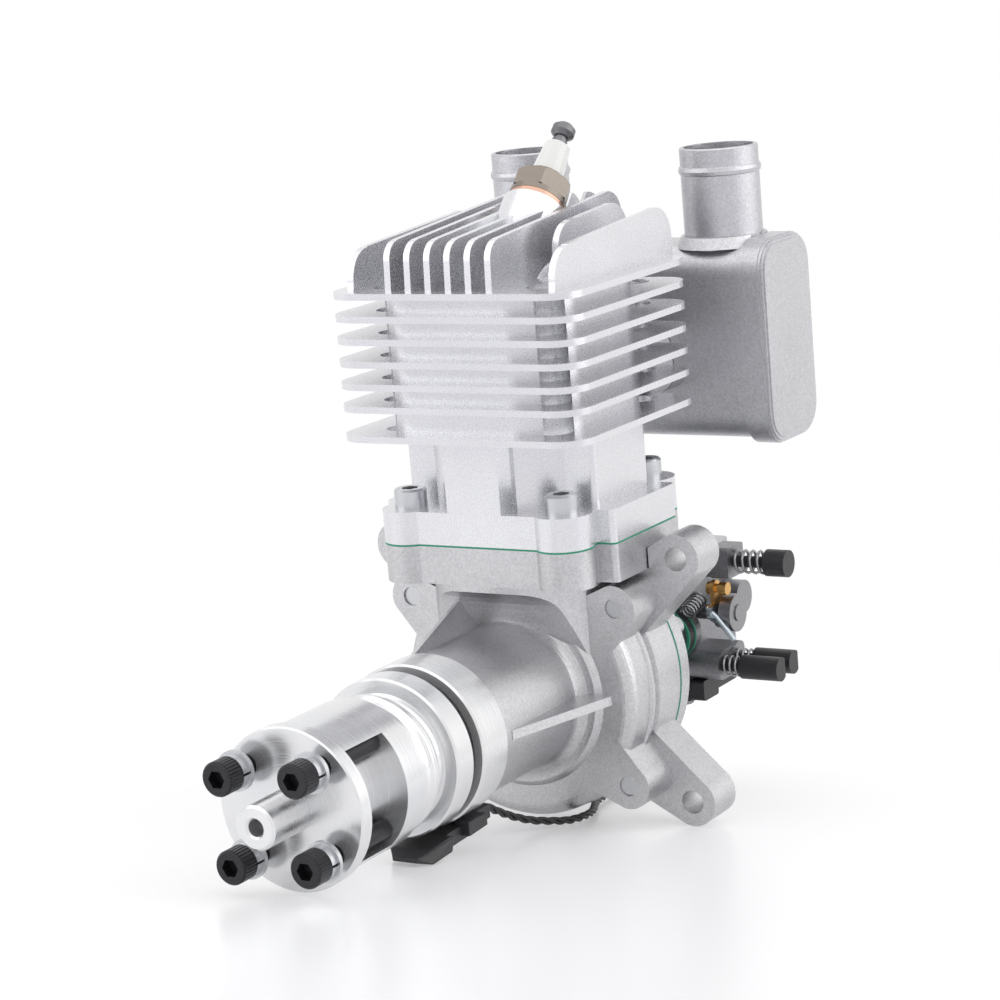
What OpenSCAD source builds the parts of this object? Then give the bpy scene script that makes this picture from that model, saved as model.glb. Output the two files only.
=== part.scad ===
/* [Crank and piston] */
// Cylinder bore diameter
bore_d = 39; // [38:0.5:40]
// Piston stroke
stroke = 30; // [28:0.5:31]
// Connecting rod length between its eyes
rod_len = 60; // [58:0.5:62]
// Piston crown above the wrist pin axis
crown_height = 24; // [23:0.5:26]
// Piston length from crown to skirt
piston_len = 35; // [33:0.5:35.5]
// Running gap between piston and bore, on the radius
piston_gap = 0.05; // [0.03:0.01:0.1]
// Wrist pin diameter
wrist_pin_d = 10; // [9:0.5:11]
// Crankpin diameter
crankpin_d = 11; // [10:0.5:12]
// Width of the connecting rod at its eyes
rod_width = 8; // [7:0.5:8.5]
// Radius of the crank web and counterweight
web_r = 26.5; // [25:0.5:27]
// Thickness of the crank web
web_t = 6; // [5:0.5:6.5]

/* [Crankcase] */
// Inner radius of the crank chamber
chamber_r = 28.4; // [27.8:0.2:29]
// Outer radius of the crankcase drum
drum_r = 34.2; // [33.6:0.2:35]
// Drum front shoulder ahead of the cylinder axis
drum_front = 14; // [13:0.5:15]
// Case joint plane behind which the rear half starts, ahead of the cylinder axis
joint_front = 1; // [0:0.25:2]
// Depth of the rear half behind the case joint
rear_depth = 13; // [12.5:0.5:15]
// Radius of the cast nose
nose_r = 19.6; // [19.3:0.1:20.2]
// Radius of the step where the nose meets the drum
root_r = 24; // [23:0.2:25]
// Thickness of the three stiffening ribs
rib_t = 2.4; // [2:0.1:3]
// Height of the cylinder joint above the crank axis
deck_z = 41.3; // [41:0.1:42.5]
// Thickness of the crankcase deck
deck_t = 9.8; // [9:0.2:10.5]
// Radius of the lugs round the case screws
lug_r = 6; // [5.5:0.25:6.5]

/* [Mounting legs] */
// Distance between the mounting holes from side to side
mount_w = 84.5; // [82:0.5:88]
// Height of the upper mounting holes above the crank axis
mount_up = 34.2; // [33:0.2:35.5]
// Depth of the lower mounting holes below the crank axis
mount_down = 30.4; // [29:0.2:31.5]
// Mounting hole diameter
mount_hole_d = 6.2; // [5.5:0.1:6.6]
// Radius of the rounded leg ends
leg_r = 6.5; // [6:0.1:7]
// Thickness of the legs along the crank axis
leg_t = 11.8; // [11:0.2:12.4]

/* [Cylinder] */
// Radius of the barrel between the fins
barrel_r = 24; // [23.5:0.25:25]
// Thickness of the cylinder base flange
flange_t = 8.5; // [7.5:0.25:9.5]
// Half the distance between the base screws from side to side
base_screw_x = 22.6; // [22.4:0.1:23.2]
// Half the distance between the base screws from front to rear
base_screw_y = 22.1; // [22:0.1:22.8]
// Radius of the flange corners round the base screws
corner_r = 7.6; // [7:0.2:8]
// Half width of the flange over its side wings
wing_x = 34.1; // [33.5:0.2:34.8]
// Thickness of the base gasket
gasket_t = 0.5; // [0.3:0.1:0.8]

/* [Cooling fins] */
// Half width of the fins
fin_x = 36.1; // [35.5:0.2:37.5]
// Fin edge ahead of the cylinder axis
fin_front = 34.6; // [34:0.2:36]
// Fin edge behind the cylinder axis
fin_rear = 31; // [30.5:0.25:32]
// Corner radius of the fins
fin_corner = 8; // [6:0.5:9]
// Fin thickness
fin_t = 1.7; // [1.4:0.1:2]
// Distance from one fin to the next
fin_pitch = 5.8; // [5.6:0.1:6]
// Larger gap above the lowest fin
fin_low_gap = 7.7; // [7:0.1:8]
// Number of fins round the barrel above the lowest one
fin_count = 6; // [5:1:6]
// Radius of the openings that let a key reach the base screws
access_r = 4.6; // [4.4:0.1:5]

/* [Head] */
// Head fin thickness
head_fin_t = 1.8; // [1.4:0.1:2]
// Spacing of the head fins
head_fin_pitch = 5.95; // [5.7:0.05:6.1]
// Sideways place of the two outer head fins
outer_fin_x = 29.6; // [28.8:0.2:30.6]
// Height of the inner head fins at their front corner
head_fin_h = 12.4; // [11:0.2:13]
// Lean of the spark plug to the rear, in degrees
plug_lean = 45; // [43:0.5:46]
// Distance of the plug seat behind the cylinder axis
plug_y = 13.6; // [13:0.1:14]
// Height of the plug seat above the top fin
plug_rise = 14.8; // [14:0.1:15.5]
// Plug thread diameter
plug_thread_d = 10; // [9.5:0.25:10.5]
// Plug thread reach
plug_reach = 12.7; // [12:0.1:13.5]
// Plug hexagon across its flats
plug_hex = 14; // [13:0.5:15]

/* [Propeller hub] */
// Distance from the cylinder axis to the front face of the hub
hub_y = 117.7; // [116:0.1:119]
// Radius of the hub front plate
plate_r = 20.1; // [19.6:0.1:20.6]
// Thickness of the hub front plate
plate_t = 4.4; // [4:0.1:5]
// Radius of the windowed drum behind the front plate
hub_drum_r = 19.1; // [18.8:0.1:19.5]
// Length of the side windows
window_len = 16.4; // [15:0.2:17]
// Half height of the side windows
window_z = 13.8; // [13:0.2:14.4]
// Length of the full drum behind the windows
hub_drum_len = 8.4; // [8:0.2:9]
// Length of the narrow waist ahead of the magnet ring
hub_waist = 12.1; // [11.5:0.1:13]
// Radius of the core between the windows
core_r = 12.2; // [11.6:0.1:12.4]
// Radius of the ring that carries the magnet
magnet_ring_r = 20.35; // [20:0.05:20.8]
// Width of the ring that carries the magnet
magnet_ring_w = 7.5; // [7:0.1:8]
// Running gap between the hub and the sensor ring
hub_gap = 3.5; // [3:0.1:4]
// Diameter of the centring boss
boss_d = 11; // [10:0.5:12]
// Length of the centring boss in front of the plate
boss_len = 14.2; // [13:0.2:16]
// Circle of the four propeller screws
screw_circle = 30.1; // [29.5:0.1:30.6]
// Angle of the first propeller screw, in degrees
screw_turn = 48.6; // [44:0.2:50]
// Standing length of the screws ahead of the plate, under their washers
screw_stand = 3.8; // [3:0.1:5]

/* [Sensor] */
// Radius of the sensor ring
sensor_ring_r = 20.9; // [20.6:0.05:21.4]
// Width of the sensor ring
sensor_ring_w = 11.9; // [11:0.1:12.5]
// Width of the sensor moulding across the engine
sensor_w = 13; // [12:0.5:14]
// Diameter of the sensor lead
lead_d = 2.2; // [1.8:0.1:2.4]

/* [Muffler] */
// Half length of the muffler body between its caps
muffler_x = 41.9; // [41:0.2:43]
// Thickness of each end cap
cap_t = 5.6; // [5:0.1:6.5]
// Muffler depth from front to rear
muffler_w = 27; // [26:0.2:28]
// Muffler height
muffler_h = 52.5; // [51:0.5:54]
// Corner radius of the muffler
muffler_corner = 7.5; // [6:0.5:8.5]
// Muffler wall thickness
muffler_wall = 1.6; // [1.2:0.1:2]
// Lip of the caps past the body
cap_lip = 1.4; // [1.1:0.1:1.8]
// Distance from the cylinder axis to the muffler centre
muffler_y = 62.5; // [62:0.1:63.5]
// Height of the muffler centre above the crank axis
muffler_z = 80.9; // [79.5:0.2:82]
// Outlet tube diameter
outlet_d = 21.2; // [20:0.2:22]
// Sideways place of the outlets
outlet_x = 29.5; // [28:0.2:31]
// Standing length of the outlets above the body
outlet_len = 25.6; // [24:0.2:27]
// Exhaust flange spacing of its two screws
exhaust_pitch = 36; // [35:0.5:38]

/* [Carburettor] */
// Distance from the cylinder axis to the carburettor's front face
carb_y = 45.5; // [45:0.1:46.5]
// Carburettor body length along its bore
carb_len = 30; // [29:0.5:31]
// Half width of the carburettor body
carb_x = 18; // [17.5:0.25:18.5]
// Height of the carburettor bore above the crank axis
carb_z = 6; // [5.6:0.1:6.4]
// Depth of the carburettor body below the crank axis
body_down = 15.5; // [15:0.25:16.5]
// Height of the carburettor body above the crank axis
body_up = 19; // [18.5:0.25:20]
// Throttle bore diameter
throttle_d = 18; // [16:0.5:19]
// Distance between the carburettor's mounting bolts
carb_pitch = 29; // [28.5:0.1:29.5]
// Depth of the mounting bolts below the bore
bolt_drop = 4.8; // [4.6:0.1:5]
// Shaft diameter of throttle and choke
shaft_d = 4.6; // [4:0.1:5]
// Insulator thickness
insulator_t = 3.1; // [2.5:0.1:4]
// Outer diameter of the black caps on the mixture needles
needle_cap_d = 6.6; // [6:0.1:7]
// Standing length of the mixture needles past their boss
needle_len = 18; // [16:0.5:19]

/* [Hidden] */
$fn = 72;

// Small allowances
eps = 0.02;
fit = 0.05;
seat_gap = 0.3;

// Heights above the crank axis
crank_r = stroke / 2;
bore_r = bore_d / 2;
tdc_z = crank_r + rod_len + crown_height;
bdc_z = tdc_z - stroke;
pin_rest_z = rod_len - crank_r;
squish = 0.6;
chamber_dome_r = 15;
chamber_top = tdc_z + 13;
deck_low = deck_z - deck_t;
flange_z = deck_z + gasket_t;
flange_top = flange_z + flange_t;
liner_wall = 2;
spigot_z = deck_low + 2;
liner_low = spigot_z + 0.2;
spigot_gap = 0.1;
top_fin_z = tdc_z + 8.8;
low_fin_z = top_fin_z - (fin_count - 1) * fin_pitch - fin_low_gap - fin_t;

// Places along the crank axis, from the cylinder axis
hub_rear = -hub_y + plate_t + window_len + hub_drum_len + hub_waist + magnet_ring_w;
ring_front = hub_rear + hub_gap;
ring_rear = ring_front + sensor_ring_w;
rear_bearing_w = 11;
web_gap = 0.5;
rear_bearing_r = 17.5;
rear_journal_r = 7.5;
front_bearing_w = 8;
front_bearing_r = 14;
front_journal_r = 6;
web_front = -rod_width / 2 - web_gap - web_t;
web_rear = web_front + web_t;
rear_bearing_y = web_front - 1 - rear_bearing_w;
front_bearing_y = ring_front + 3.4;
seal_w = 3.2;
joint_y = -joint_front;
rear_y = joint_y + rear_depth;
cover_gasket_t = 0.5;
cover_y = rear_y + cover_gasket_t;
cover_t = 4.5;
chamber_rear = rear_y;

// Socket head screws
m5_r = 2.5;
m5_head_r = 4.25;
m5_head_h = 5;
m5_key = 4;
m4_r = 2;
m4_head_r = 3.5;
m4_head_h = 4;
m4_key = 3;
m3_r = 1.5;
m3_head_r = 2.75;
m3_head_h = 3;
m3_key = 2.5;
thread_gap = 0.05;

// Case screws run through lugs beside the drum
lug_reach = drum_r + 4.5;
lug_angles = [38, 142, 217, 323];
lugs = [for (a = lug_angles) lug_reach * [cos(a), sin(a)]];
lug_front = -drum_front;
leg_front = joint_y;
leg_rear = leg_front + leg_t;

module place() translate([0, hub_y, 0]) children();

// Turns a shape that stands on Z to stand along +Y from the given place
module along_y(y = 0, x = 0, z = 0) translate([x, y, z]) rotate([-90, 0, 0]) children();

// Revolves a profile of [radius, y] points round the crank axis
module turned(profile) along_y() rotate_extrude() polygon(profile);

// Bar of round section along Y between two places
module rod_y(r, y0, y1, x = 0, z = 0) along_y(y0, x, z) cylinder(r = r, h = y1 - y0);

// Bar of round section along X between two places
module rod_x(r, x0, x1, y = 0, z = 0) translate([x0, y, z]) rotate([0, 90, 0]) cylinder(r = r, h = x1 - x0);

// Extrudes a profile drawn in X and Z along Y
module slab_y(y0, y1) translate([0, y1, 0]) rotate([90, 0, 0]) linear_extrude(y1 - y0) children();

// Extrudes a profile drawn in Y and Z along X
module slab_x(x0, x1) translate([x0, 0, 0]) rotate([90, 0, 90]) linear_extrude(x1 - x0) children();

// Rectangle between two corners with true round corners
module round_rect(x0, y0, x1, y1, r) {
    translate([x0 + r, y0]) square([x1 - x0 - 2 * r, y1 - y0]);
    translate([x0, y0 + r]) square([x1 - x0, y1 - y0 - 2 * r]);
    for (x = [x0 + r, x1 - r], y = [y0 + r, y1 - r]) translate([x, y]) circle(r);
}

// Two circles joined by straight sides just inside their outer tangents
module capsule(p, rp, q, rq) {
    lean = atan2(q[1] - p[1], q[0] - p[0]);
    open_angle = acos((rp - rq) / norm(q - p));
    left = [cos(lean + open_angle), sin(lean + open_angle)];
    right = [cos(lean - open_angle), sin(lean - open_angle)];
    translate(p) circle(rp);
    translate(q) circle(rq);
    polygon([p + (rp - fit) * left, p + (rp - fit) * right, q + (rq - fit) * right, q + (rq - fit) * left]);
}

// Socket head screw with its head above z = 0 and its shank below
module socket_screw(r, head_r, head_h, key, len) {
    difference() {
        union() {
            translate([0, 0, -len]) cylinder(r = r, h = len + eps);
            cylinder(r = head_r, h = head_h - 0.5);
            translate([0, 0, head_h - 0.5]) cylinder(r1 = head_r, r2 = head_r - 0.45, h = 0.5);
        }
        translate([0, 0, head_h * 0.45]) cylinder(r = key / sqrt(3), h = head_h, $fn = 6);
    }
}

// Outline that the crankcase deck, the base gasket and the cylinder flange share
module deck_outline() {
    wing_y = base_screw_y - corner_r + 2.2;
    front_y = base_screw_y + corner_r - 1.9;
    for (x = [-base_screw_x, base_screw_x], y = [-base_screw_y, base_screw_y])
        translate([x, y]) circle(corner_r);
    round_rect(-wing_x, -wing_y, wing_x, wing_y, 1.5);
    square([2 * base_screw_x, 2 * front_y], center = true);
    square([2 * (base_screw_x + corner_r - 1), 2 * base_screw_y], center = true);
}

module base_screw_places() {
    for (x = [-base_screw_x, base_screw_x], y = [-base_screw_y, base_screw_y])
        translate([x, y, 0]) children();
}

// Profile of a screw lug with its web to the drum
module lug_outline(p, r) capsule(p, r, p * ((drum_r - 6) / norm(p)), r + 2.5);

// Points of a round corner that starts at one angle and ends at another
function arc_points(c, r, from, to, steps) =
    [for (i = [0 : steps]) c + r * [cos(from + (to - from) * i / steps),
        sin(from + (to - from) * i / steps)]];

// Radial stiffening rib along the nose, at an angle about the crank axis
rib_front = ring_rear + 3.7;
rib_rise = 9.3;
module rib(angle) rotate([0, -angle, 0]) linear_extrude(rib_t, center = true)
    polygon([[nose_r - 2, rib_front], [nose_r + 0.2, rib_front], [nose_r + rib_rise, -drum_front - 1.7],
             [nose_r + rib_rise, -drum_front + 1], [nose_r - 2, -drum_front + 1]]);

rim_w = 1.7;
groove_w = 1.7;
// Opening between the crank chamber and the cylinder
module rod_room() intersection() {
    cylinder(r = bore_r + 0.6, h = spigot_z + eps);
    translate([-bore_d, web_front - web_gap, 0]) cube([2 * bore_d, rear_y - 2 - web_front + web_gap,
        deck_z]);
}

module front_crankcase() color("silver") place() {
    shoulder = -drum_front;
    round_r = 3.2;
    root_fillet = 3.4;
    neck_y = base_screw_y + 4.6;
    difference() {
        union() {
            turned(concat(
                [[front_bearing_r + 1.5, ring_front + 0.4], [sensor_ring_r - 2.7, ring_front + 0.4],
                 [sensor_ring_r - 2.7, ring_rear], [nose_r, ring_rear]],
                arc_points([nose_r + root_fillet, shoulder - 1.6 - root_fillet], root_fillet, 180, 90, 6),
                [[root_r, shoulder - 1.6], [root_r + 0.8, shoulder - 0.9], [root_r + 1.5, shoulder]],
                arc_points([drum_r - round_r, shoulder + round_r], round_r, -90, 0, 6),
                [[drum_r, joint_y - groove_w - rim_w - 0.5], [drum_r + 0.6, joint_y - groove_w - rim_w],
                 [drum_r + 0.6, joint_y - groove_w - 0.4], [drum_r - 0.6, joint_y - groove_w],
                     [drum_r - 0.6, joint_y],
                 [front_bearing_r + 1.5, joint_y]]));
            // Neck that blends the drum into the deck
            intersection() {
                cylinder(r = neck_y, h = deck_low + eps);
                slab_x(-wing_x + 6, wing_x - 6) polygon(concat(
                    [[joint_y, 10], [joint_y, deck_low + eps], [-neck_y, deck_low + eps],
                        [-neck_y, deck_low - 2]],
                    arc_points([-neck_y - 1, deck_low - 11], 9, 80, 20, 5),
                    [[shoulder, 10]]));
            }
            translate([0, 0, deck_low]) linear_extrude(deck_t) deck_outline();
            for (p = lugs) slab_y(lug_front, joint_y) lug_outline(p, lug_r);
            for (a = [0, 118, 242]) rib(a);
        }
        // Seats of the oil seal and the two main bearings
        rod_y(front_bearing_r, ring_front, front_bearing_y + front_bearing_w);
        rod_y(front_bearing_r - 2, front_bearing_y, web_front);
        rod_y(rear_bearing_r, rear_bearing_y, web_front);
        // Crank chamber and the opening for the cylinder spigot
        rod_y(chamber_r, web_front - web_gap, rear_y);
        rod_room();
        translate([0, 0, spigot_z]) cylinder(r = bore_r + liner_wall + spigot_gap, h = deck_t);
        base_screw_places() translate([0, 0, deck_low + 1.5]) cylinder(r = m5_r + thread_gap, h = deck_t);
        for (p = lugs) rod_y(m5_r + thread_gap, lug_front - 1, joint_y + 1, p[0], p[1]);
        // The rear half fits under the deck from behind
        translate([-60, joint_y, -60]) cube([120, 80, 60 + deck_low]);
    }
}

// Profile of a mounting leg with its web to the drum
module leg_outline(p) capsule(p, leg_r, p * ((drum_r - 5) / norm(p)), leg_r + 3);

legs = [[mount_w / 2, mount_up], [-mount_w / 2, mount_up], [mount_w / 2, -mount_down],
    [-mount_w / 2, -mount_down]];

module rear_crankcase() color("silver") place() difference() {
    union() {
        turned([[chamber_r - 2, joint_y], [drum_r - 0.6, joint_y], [drum_r + 0.6, joint_y + 0.5],
                [drum_r + 0.6, joint_y + rim_w], [drum_r, joint_y + rim_w + 0.5], [drum_r, rear_y],
                    [chamber_r - 2, rear_y]]);
        for (p = legs) slab_y(leg_front, leg_rear) leg_outline(p);
        for (p = lugs) rod_y(lug_r + 0.9, joint_y, leg_rear, p[0], p[1]);
    }
    // Room for the deck of the front half
    translate([-wing_x - 0.3, -60, deck_low]) cube([2 * wing_x + 0.6, 120, 40]);
    rod_y(chamber_r, joint_y - 1, rear_y + 1);
    rod_room();
    for (p = lugs) rod_y(m5_r + 0.3, leg_front - 1, leg_rear + 1, p[0], p[1]);
    for (p = legs) rod_y(mount_hole_d / 2, leg_front - 1, leg_rear + 1, p[0], p[1]);
    for (p = cover_screws) rod_y(m3_r + thread_gap, rear_y - 7, rear_y + 1, p[0], p[1]);
}

module crankcase_screws() color("gainsboro") place() for (p = lugs)
    along_y(leg_rear, p[0], p[1]) socket_screw(m5_r, m5_head_r, m5_head_h, m5_key,
        leg_rear - lug_front - 0.6);

// Four screws hold the rear cover to the rear case half
cover_screw_r = (chamber_r + drum_r) / 2;
cover_screws = [for (a = [20, 160, 215, 325]) [cover_screw_r * cos(a), cover_screw_r * sin(a)]];
neck_x = 19;
neck_z = 12;
neck_wall_x = 7.6;
neck_wall_z = 3;
neck_rear = carb_y - 2 * 0.6 - insulator_t - 8;

// Round cover outline with the flat under the deck
module cover_outline(r) intersection() {
    circle(r);
    translate([-r - 1, -r - 1]) square([2 * r + 2, r + 1 + deck_low - 0.6]);
}

module rear_cover() color("silver") place() difference() {
    union() {
        slab_y(cover_y, cover_y + cover_t) cover_outline(drum_r);
        slab_y(cover_y + cover_t - eps, neck_rear) round_rect(-neck_x, carb_z - neck_z, neck_x,
            carb_z + neck_z, 5);
        rod_y(chamber_r - fit, cover_y - 2.5, cover_y + 1);
    }
    slab_y(cover_y - 5, neck_rear + 1) round_rect(-neck_x + neck_wall_x, carb_z - neck_z + neck_wall_z,
        neck_x - neck_wall_x, carb_z + neck_z - neck_wall_z, 1);
    for (p = cover_screws) rod_y(m3_r + 0.2, cover_y - 4, cover_y + 20, p[0], p[1]);
    for (s = [-1, 1]) rod_y(m4_r + thread_gap, neck_rear - 8, neck_rear + 1, s * carb_pitch / 2,
        carb_z - bolt_drop);
}

module rear_cover_gasket() color("seagreen") place() difference() {
    slab_y(rear_y, cover_y) cover_outline(drum_r + 0.1);
    rod_y(chamber_r, rear_y - 1, cover_y + 1);
    for (p = cover_screws) rod_y(m3_r + 0.2, rear_y - 1, cover_y + 1, p[0], p[1]);
}

module rear_cover_screws() color("gainsboro") place() for (p = cover_screws)
    along_y(cover_y + cover_t, p[0], p[1]) socket_screw(m3_r, m3_head_r, m3_head_h, m3_key, cover_t + 6);

// Fin outline with true round corners
module fin_outline() round_rect(-fin_x, -fin_front, fin_x, fin_rear, fin_corner);

// Head fin drawn in Y and Z: front corner, sloping top and rounded rear corner
module head_fin(y0, y1, h0, slope, r0, r1, foot) {
    h1 = h0 + slope * (y1 - y0);
    difference() {
        union() {
            polygon([[y0 + 2, foot], [y0, 0], [y0 + 0.4, h0 - r0], [y0 + r0, h0 + slope * r0 - 0.2],
                     [y1 - r1, h1 - slope * r1 - 0.1], [y1, h1 - r1], [y1, 0], [y1 - 2, foot]]);
            translate([y0 + r0 + 0.4, h0 - r0 + 0.1]) circle(r0);
            translate([y1 - r1, h1 - r1 - slope * r1]) circle(r1);
        }
        translate([y0 - 20, foot - 20]) square([100, 20]);
    }
}

// Axis of the spark plug: children stand on the seat with +Z along the plug
seat_z = top_fin_z + plug_rise;
module on_plug() translate([0, plug_y, seat_z]) rotate([-plug_lean, 0, 0]) children();

module cylinder_outside() {
    // Barrel with its transfer passages in front and at both sides
    translate([0, 0, flange_top - eps]) cylinder(r = barrel_r, h = top_fin_z - flange_top);
    translate([0, 0, flange_top - eps]) linear_extrude(low_fin_z - flange_top + 1) {
        polygon([[-9.4, -barrel_r + 4], [-9.4, -barrel_r], [-8, -barrel_r - 4], [8, -barrel_r - 4],
            [9.4, -barrel_r], [9.4, -barrel_r + 4]]);
        round_rect(-barrel_r - 4, -14, barrel_r + 4, 14, 1.5);
    }
    // Upper barrel swells toward the fin edges
    translate([0, 0, low_fin_z]) linear_extrude(top_fin_z - low_fin_z - 0.5)
        round_rect(-barrel_r - 3.2, -barrel_r - 5, barrel_r + 3.2, barrel_r - 1, 13);
    // Fins
    translate([0, 0, low_fin_z]) linear_extrude(fin_t) fin_outline();
    for (i = [0 : fin_count - 1]) translate([0, 0, top_fin_z - fin_t - i * fin_pitch])
        linear_extrude(fin_t) fin_outline();
    // Rear shelf under the inner head fins
    translate([0, 0, top_fin_z - fin_t]) linear_extrude(fin_t) round_rect(-19.5, 0, 19.5,
        fin_rear + 6.5, 5);
    // Exhaust port stub at the rear
    slab_y(0, fin_rear + 2) round_rect(-13, port_z - 9.5, 13, port_z + 9.5, 4);
    slab_y(fin_rear - 2, exhaust_face) round_rect(-exhaust_pitch / 2 - 5, port_z - 9,
        exhaust_pitch / 2 + 5, port_z + 9, 6);
    // Domed roof and the plug boss
    translate([0, 0, chamber_top - chamber_dome_r]) intersection() {
        sphere(r = chamber_dome_r + 4);
        cylinder(r = 40, h = 40);
    }
    on_plug() translate([0, 0, -18]) cylinder(r = 8.5, h = 18);
    // Head fins: six inner ones, a short one beside the key opening and the two outer ones
    translate([0, 0, top_fin_z]) {
        for (i = [-3 : 2]) slab_x(i * head_fin_pitch - head_fin_t / 2, i * head_fin_pitch + head_fin_t / 2)
            head_fin(-fin_front + 3.4, fin_rear + 6, head_fin_h, 0.075, 5, 7, -1);
        slab_x(3 * head_fin_pitch - head_fin_t / 2, 3 * head_fin_pitch + head_fin_t / 2)
            head_fin(-8, fin_rear - 2, head_fin_h + 0.9, 0.06, 7, 8, -1);
        for (s = [-1, 1]) slab_x(s * outer_fin_x - head_fin_t / 2, s * outer_fin_x + head_fin_t / 2)
            head_fin(-fin_front + 3.9, fin_rear - 0.2, head_fin_h - 2.2, 0.06, 8, 8, -1);
    }
    translate([0, 0, flange_z]) linear_extrude(flange_t) deck_outline();
}

port_z = bdc_z + 9;
exhaust_face = fin_rear + 9.5;

module cylinder_casting() color("silver") place() difference() {
    union() {
        cylinder_outside();
        translate([0, 0, liner_low]) cylinder(r = bore_r + liner_wall, h = flange_z - liner_low + 1);
    }
    translate([0, 0, liner_low - 1]) cylinder(r = bore_r, h = tdc_z + squish - liner_low + 1);
    // Combustion chamber, plug hole and exhaust port
    translate([0, 0, tdc_z + squish - eps]) intersection() {
        translate([0, 0, chamber_top - chamber_dome_r - tdc_z - squish]) sphere(r = chamber_dome_r);
        cylinder(r = chamber_dome_r, h = 30);
    }
    on_plug() translate([0, 0, -plug_reach - 6]) cylinder(r = plug_thread_d / 2 + thread_gap, h = 40);
    on_plug() cylinder(r = plug_hex / 2 + 5, h = 40);
    slab_y(5, exhaust_face + 1) round_rect(-9.5, port_z - 5.5, 9.5, port_z + 5.5, 3);
    for (s = [-1, 1]) rod_y(m5_r + thread_gap, exhaust_face - 8, exhaust_face + 1,
        s * exhaust_pitch / 2, port_z);
    base_screw_places() translate([0, 0, flange_z - 1]) cylinder(r = m5_r + 0.25, h = flange_t + 2);
    base_screw_places() translate([0, 0, flange_top]) cylinder(r = m5_head_r + 0.35, h = 60 - eps);
}

module cylinder_base_gasket() color("seagreen") place() difference() {
    translate([0, 0, deck_z]) linear_extrude(gasket_t) deck_outline();
    translate([0, 0, deck_z - 1]) cylinder(r = bore_r + liner_wall + spigot_gap, h = gasket_t + 2);
    base_screw_places() translate([0, 0, deck_z - 1]) cylinder(r = m5_r + 0.25, h = gasket_t + 2);
}

module cylinder_base_screws() color("gainsboro") place() base_screw_places()
    translate([0, 0, flange_top]) socket_screw(m5_r, m5_head_r, m5_head_h, m5_key,
        flange_t + gasket_t + deck_t - 3);

// Spark plug pieces, from the seat up
plug_washer_t = 1.8;
module spark_plug_gasket() color("peru") place() on_plug() difference() {
    cylinder(r = plug_hex / 2 + 0.6, h = plug_washer_t);
    translate([0, 0, -1]) cylinder(r = plug_thread_d / 2 + 0.3, h = plug_washer_t + 2);
}

module spark_plug_shell() color("tan") place() on_plug() difference() {
    union() {
        translate([0, 0, -plug_reach]) cylinder(r = plug_thread_d / 2,
            h = plug_reach + plug_washer_t + eps);
        translate([0, 0, plug_washer_t]) cylinder(r = plug_hex / 2 + 0.7, h = 1.6);
        translate([0, 0, plug_washer_t + 1.6 - eps]) intersection() {
            cylinder(r = plug_hex / sqrt(3), h = 5.4, $fn = 6);
            cylinder(r1 = plug_hex / sqrt(3) + 4, r2 = plug_hex / 2 + 0.3, h = 5.4);
        }
        translate([0, 0, plug_washer_t + 7 - 2 * eps]) cylinder(r1 = plug_hex / 2 - 0.6,
            r2 = plug_hex / 2 - 1.6, h = 1.3);
    }
    translate([0, 0, -plug_reach - 1]) cylinder(r = 3.2, h = plug_reach + 1 + eps);
    cylinder(r = 4.5 + fit, h = 40);
}

insulator_h = 20.7;
module spark_plug_insulator() color("white") place() on_plug() difference() {
    union() {
        translate([0, 0, -plug_reach + 2]) cylinder(r1 = 1.8, r2 = 3.1, h = plug_reach - 2 + eps);
        cylinder(r = 4.5, h = 9);
        translate([0, 0, 9 - eps]) cylinder(r1 = 4.5, r2 = 3.5, h = insulator_h - 9.5);
        translate([0, 0, insulator_h - 0.5 - 2 * eps]) cylinder(r1 = 3.5, r2 = 3, h = 0.5);
    }
    translate([0, 0, -plug_reach]) cylinder(r = 1.1 + fit, h = plug_reach + insulator_h + 1);
}

module spark_plug_terminal() color("dimgray") place() on_plug() {
    translate([0, 0, -plug_reach]) cylinder(r = 1.1, h = plug_reach + insulator_h + eps);
    translate([0, 0, insulator_h]) cylinder(r = 2.1, h = 1.6);
    translate([0, 0, insulator_h + 1.6 - eps]) cylinder(r = 1.6, h = 1.2);
    translate([0, 0, insulator_h + 2.8 - 2 * eps]) cylinder(r1 = 2, r2 = 3.15, h = 1.2);
    translate([0, 0, insulator_h + 4 - 3 * eps]) cylinder(r = 3.15, h = 1.7);
    translate([0, 0, insulator_h + 5.7 - 4 * eps]) cylinder(r1 = 3.15, r2 = 2.2, h = 1);
}

// Exhaust joint and muffler
exhaust_gasket_t = 0.6;
muffler_front = muffler_y - muffler_w / 2;
cap_grip = 1.8;
module muffler_section(grow = 0) {
    h = muffler_h / 2 + grow;
    w = muffler_w / 2 + grow;
    round_rect(muffler_y - w, muffler_z - h, muffler_y + w, muffler_z + h, muffler_corner + grow);
}

module exhaust_gasket() color("gray") place() difference() {
    slab_y(exhaust_face, exhaust_face + exhaust_gasket_t)
        round_rect(-exhaust_pitch / 2 - 5, port_z - 9, exhaust_pitch / 2 + 5, port_z + 9, 6);
    slab_y(exhaust_face - 1, exhaust_face + 2) round_rect(-9.5, port_z - 5.5, 9.5, port_z + 5.5, 3);
    for (s = [-1, 1]) rod_y(m5_r + 0.3, exhaust_face - 1, exhaust_face + 2, s * exhaust_pitch / 2, port_z);
}

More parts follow.
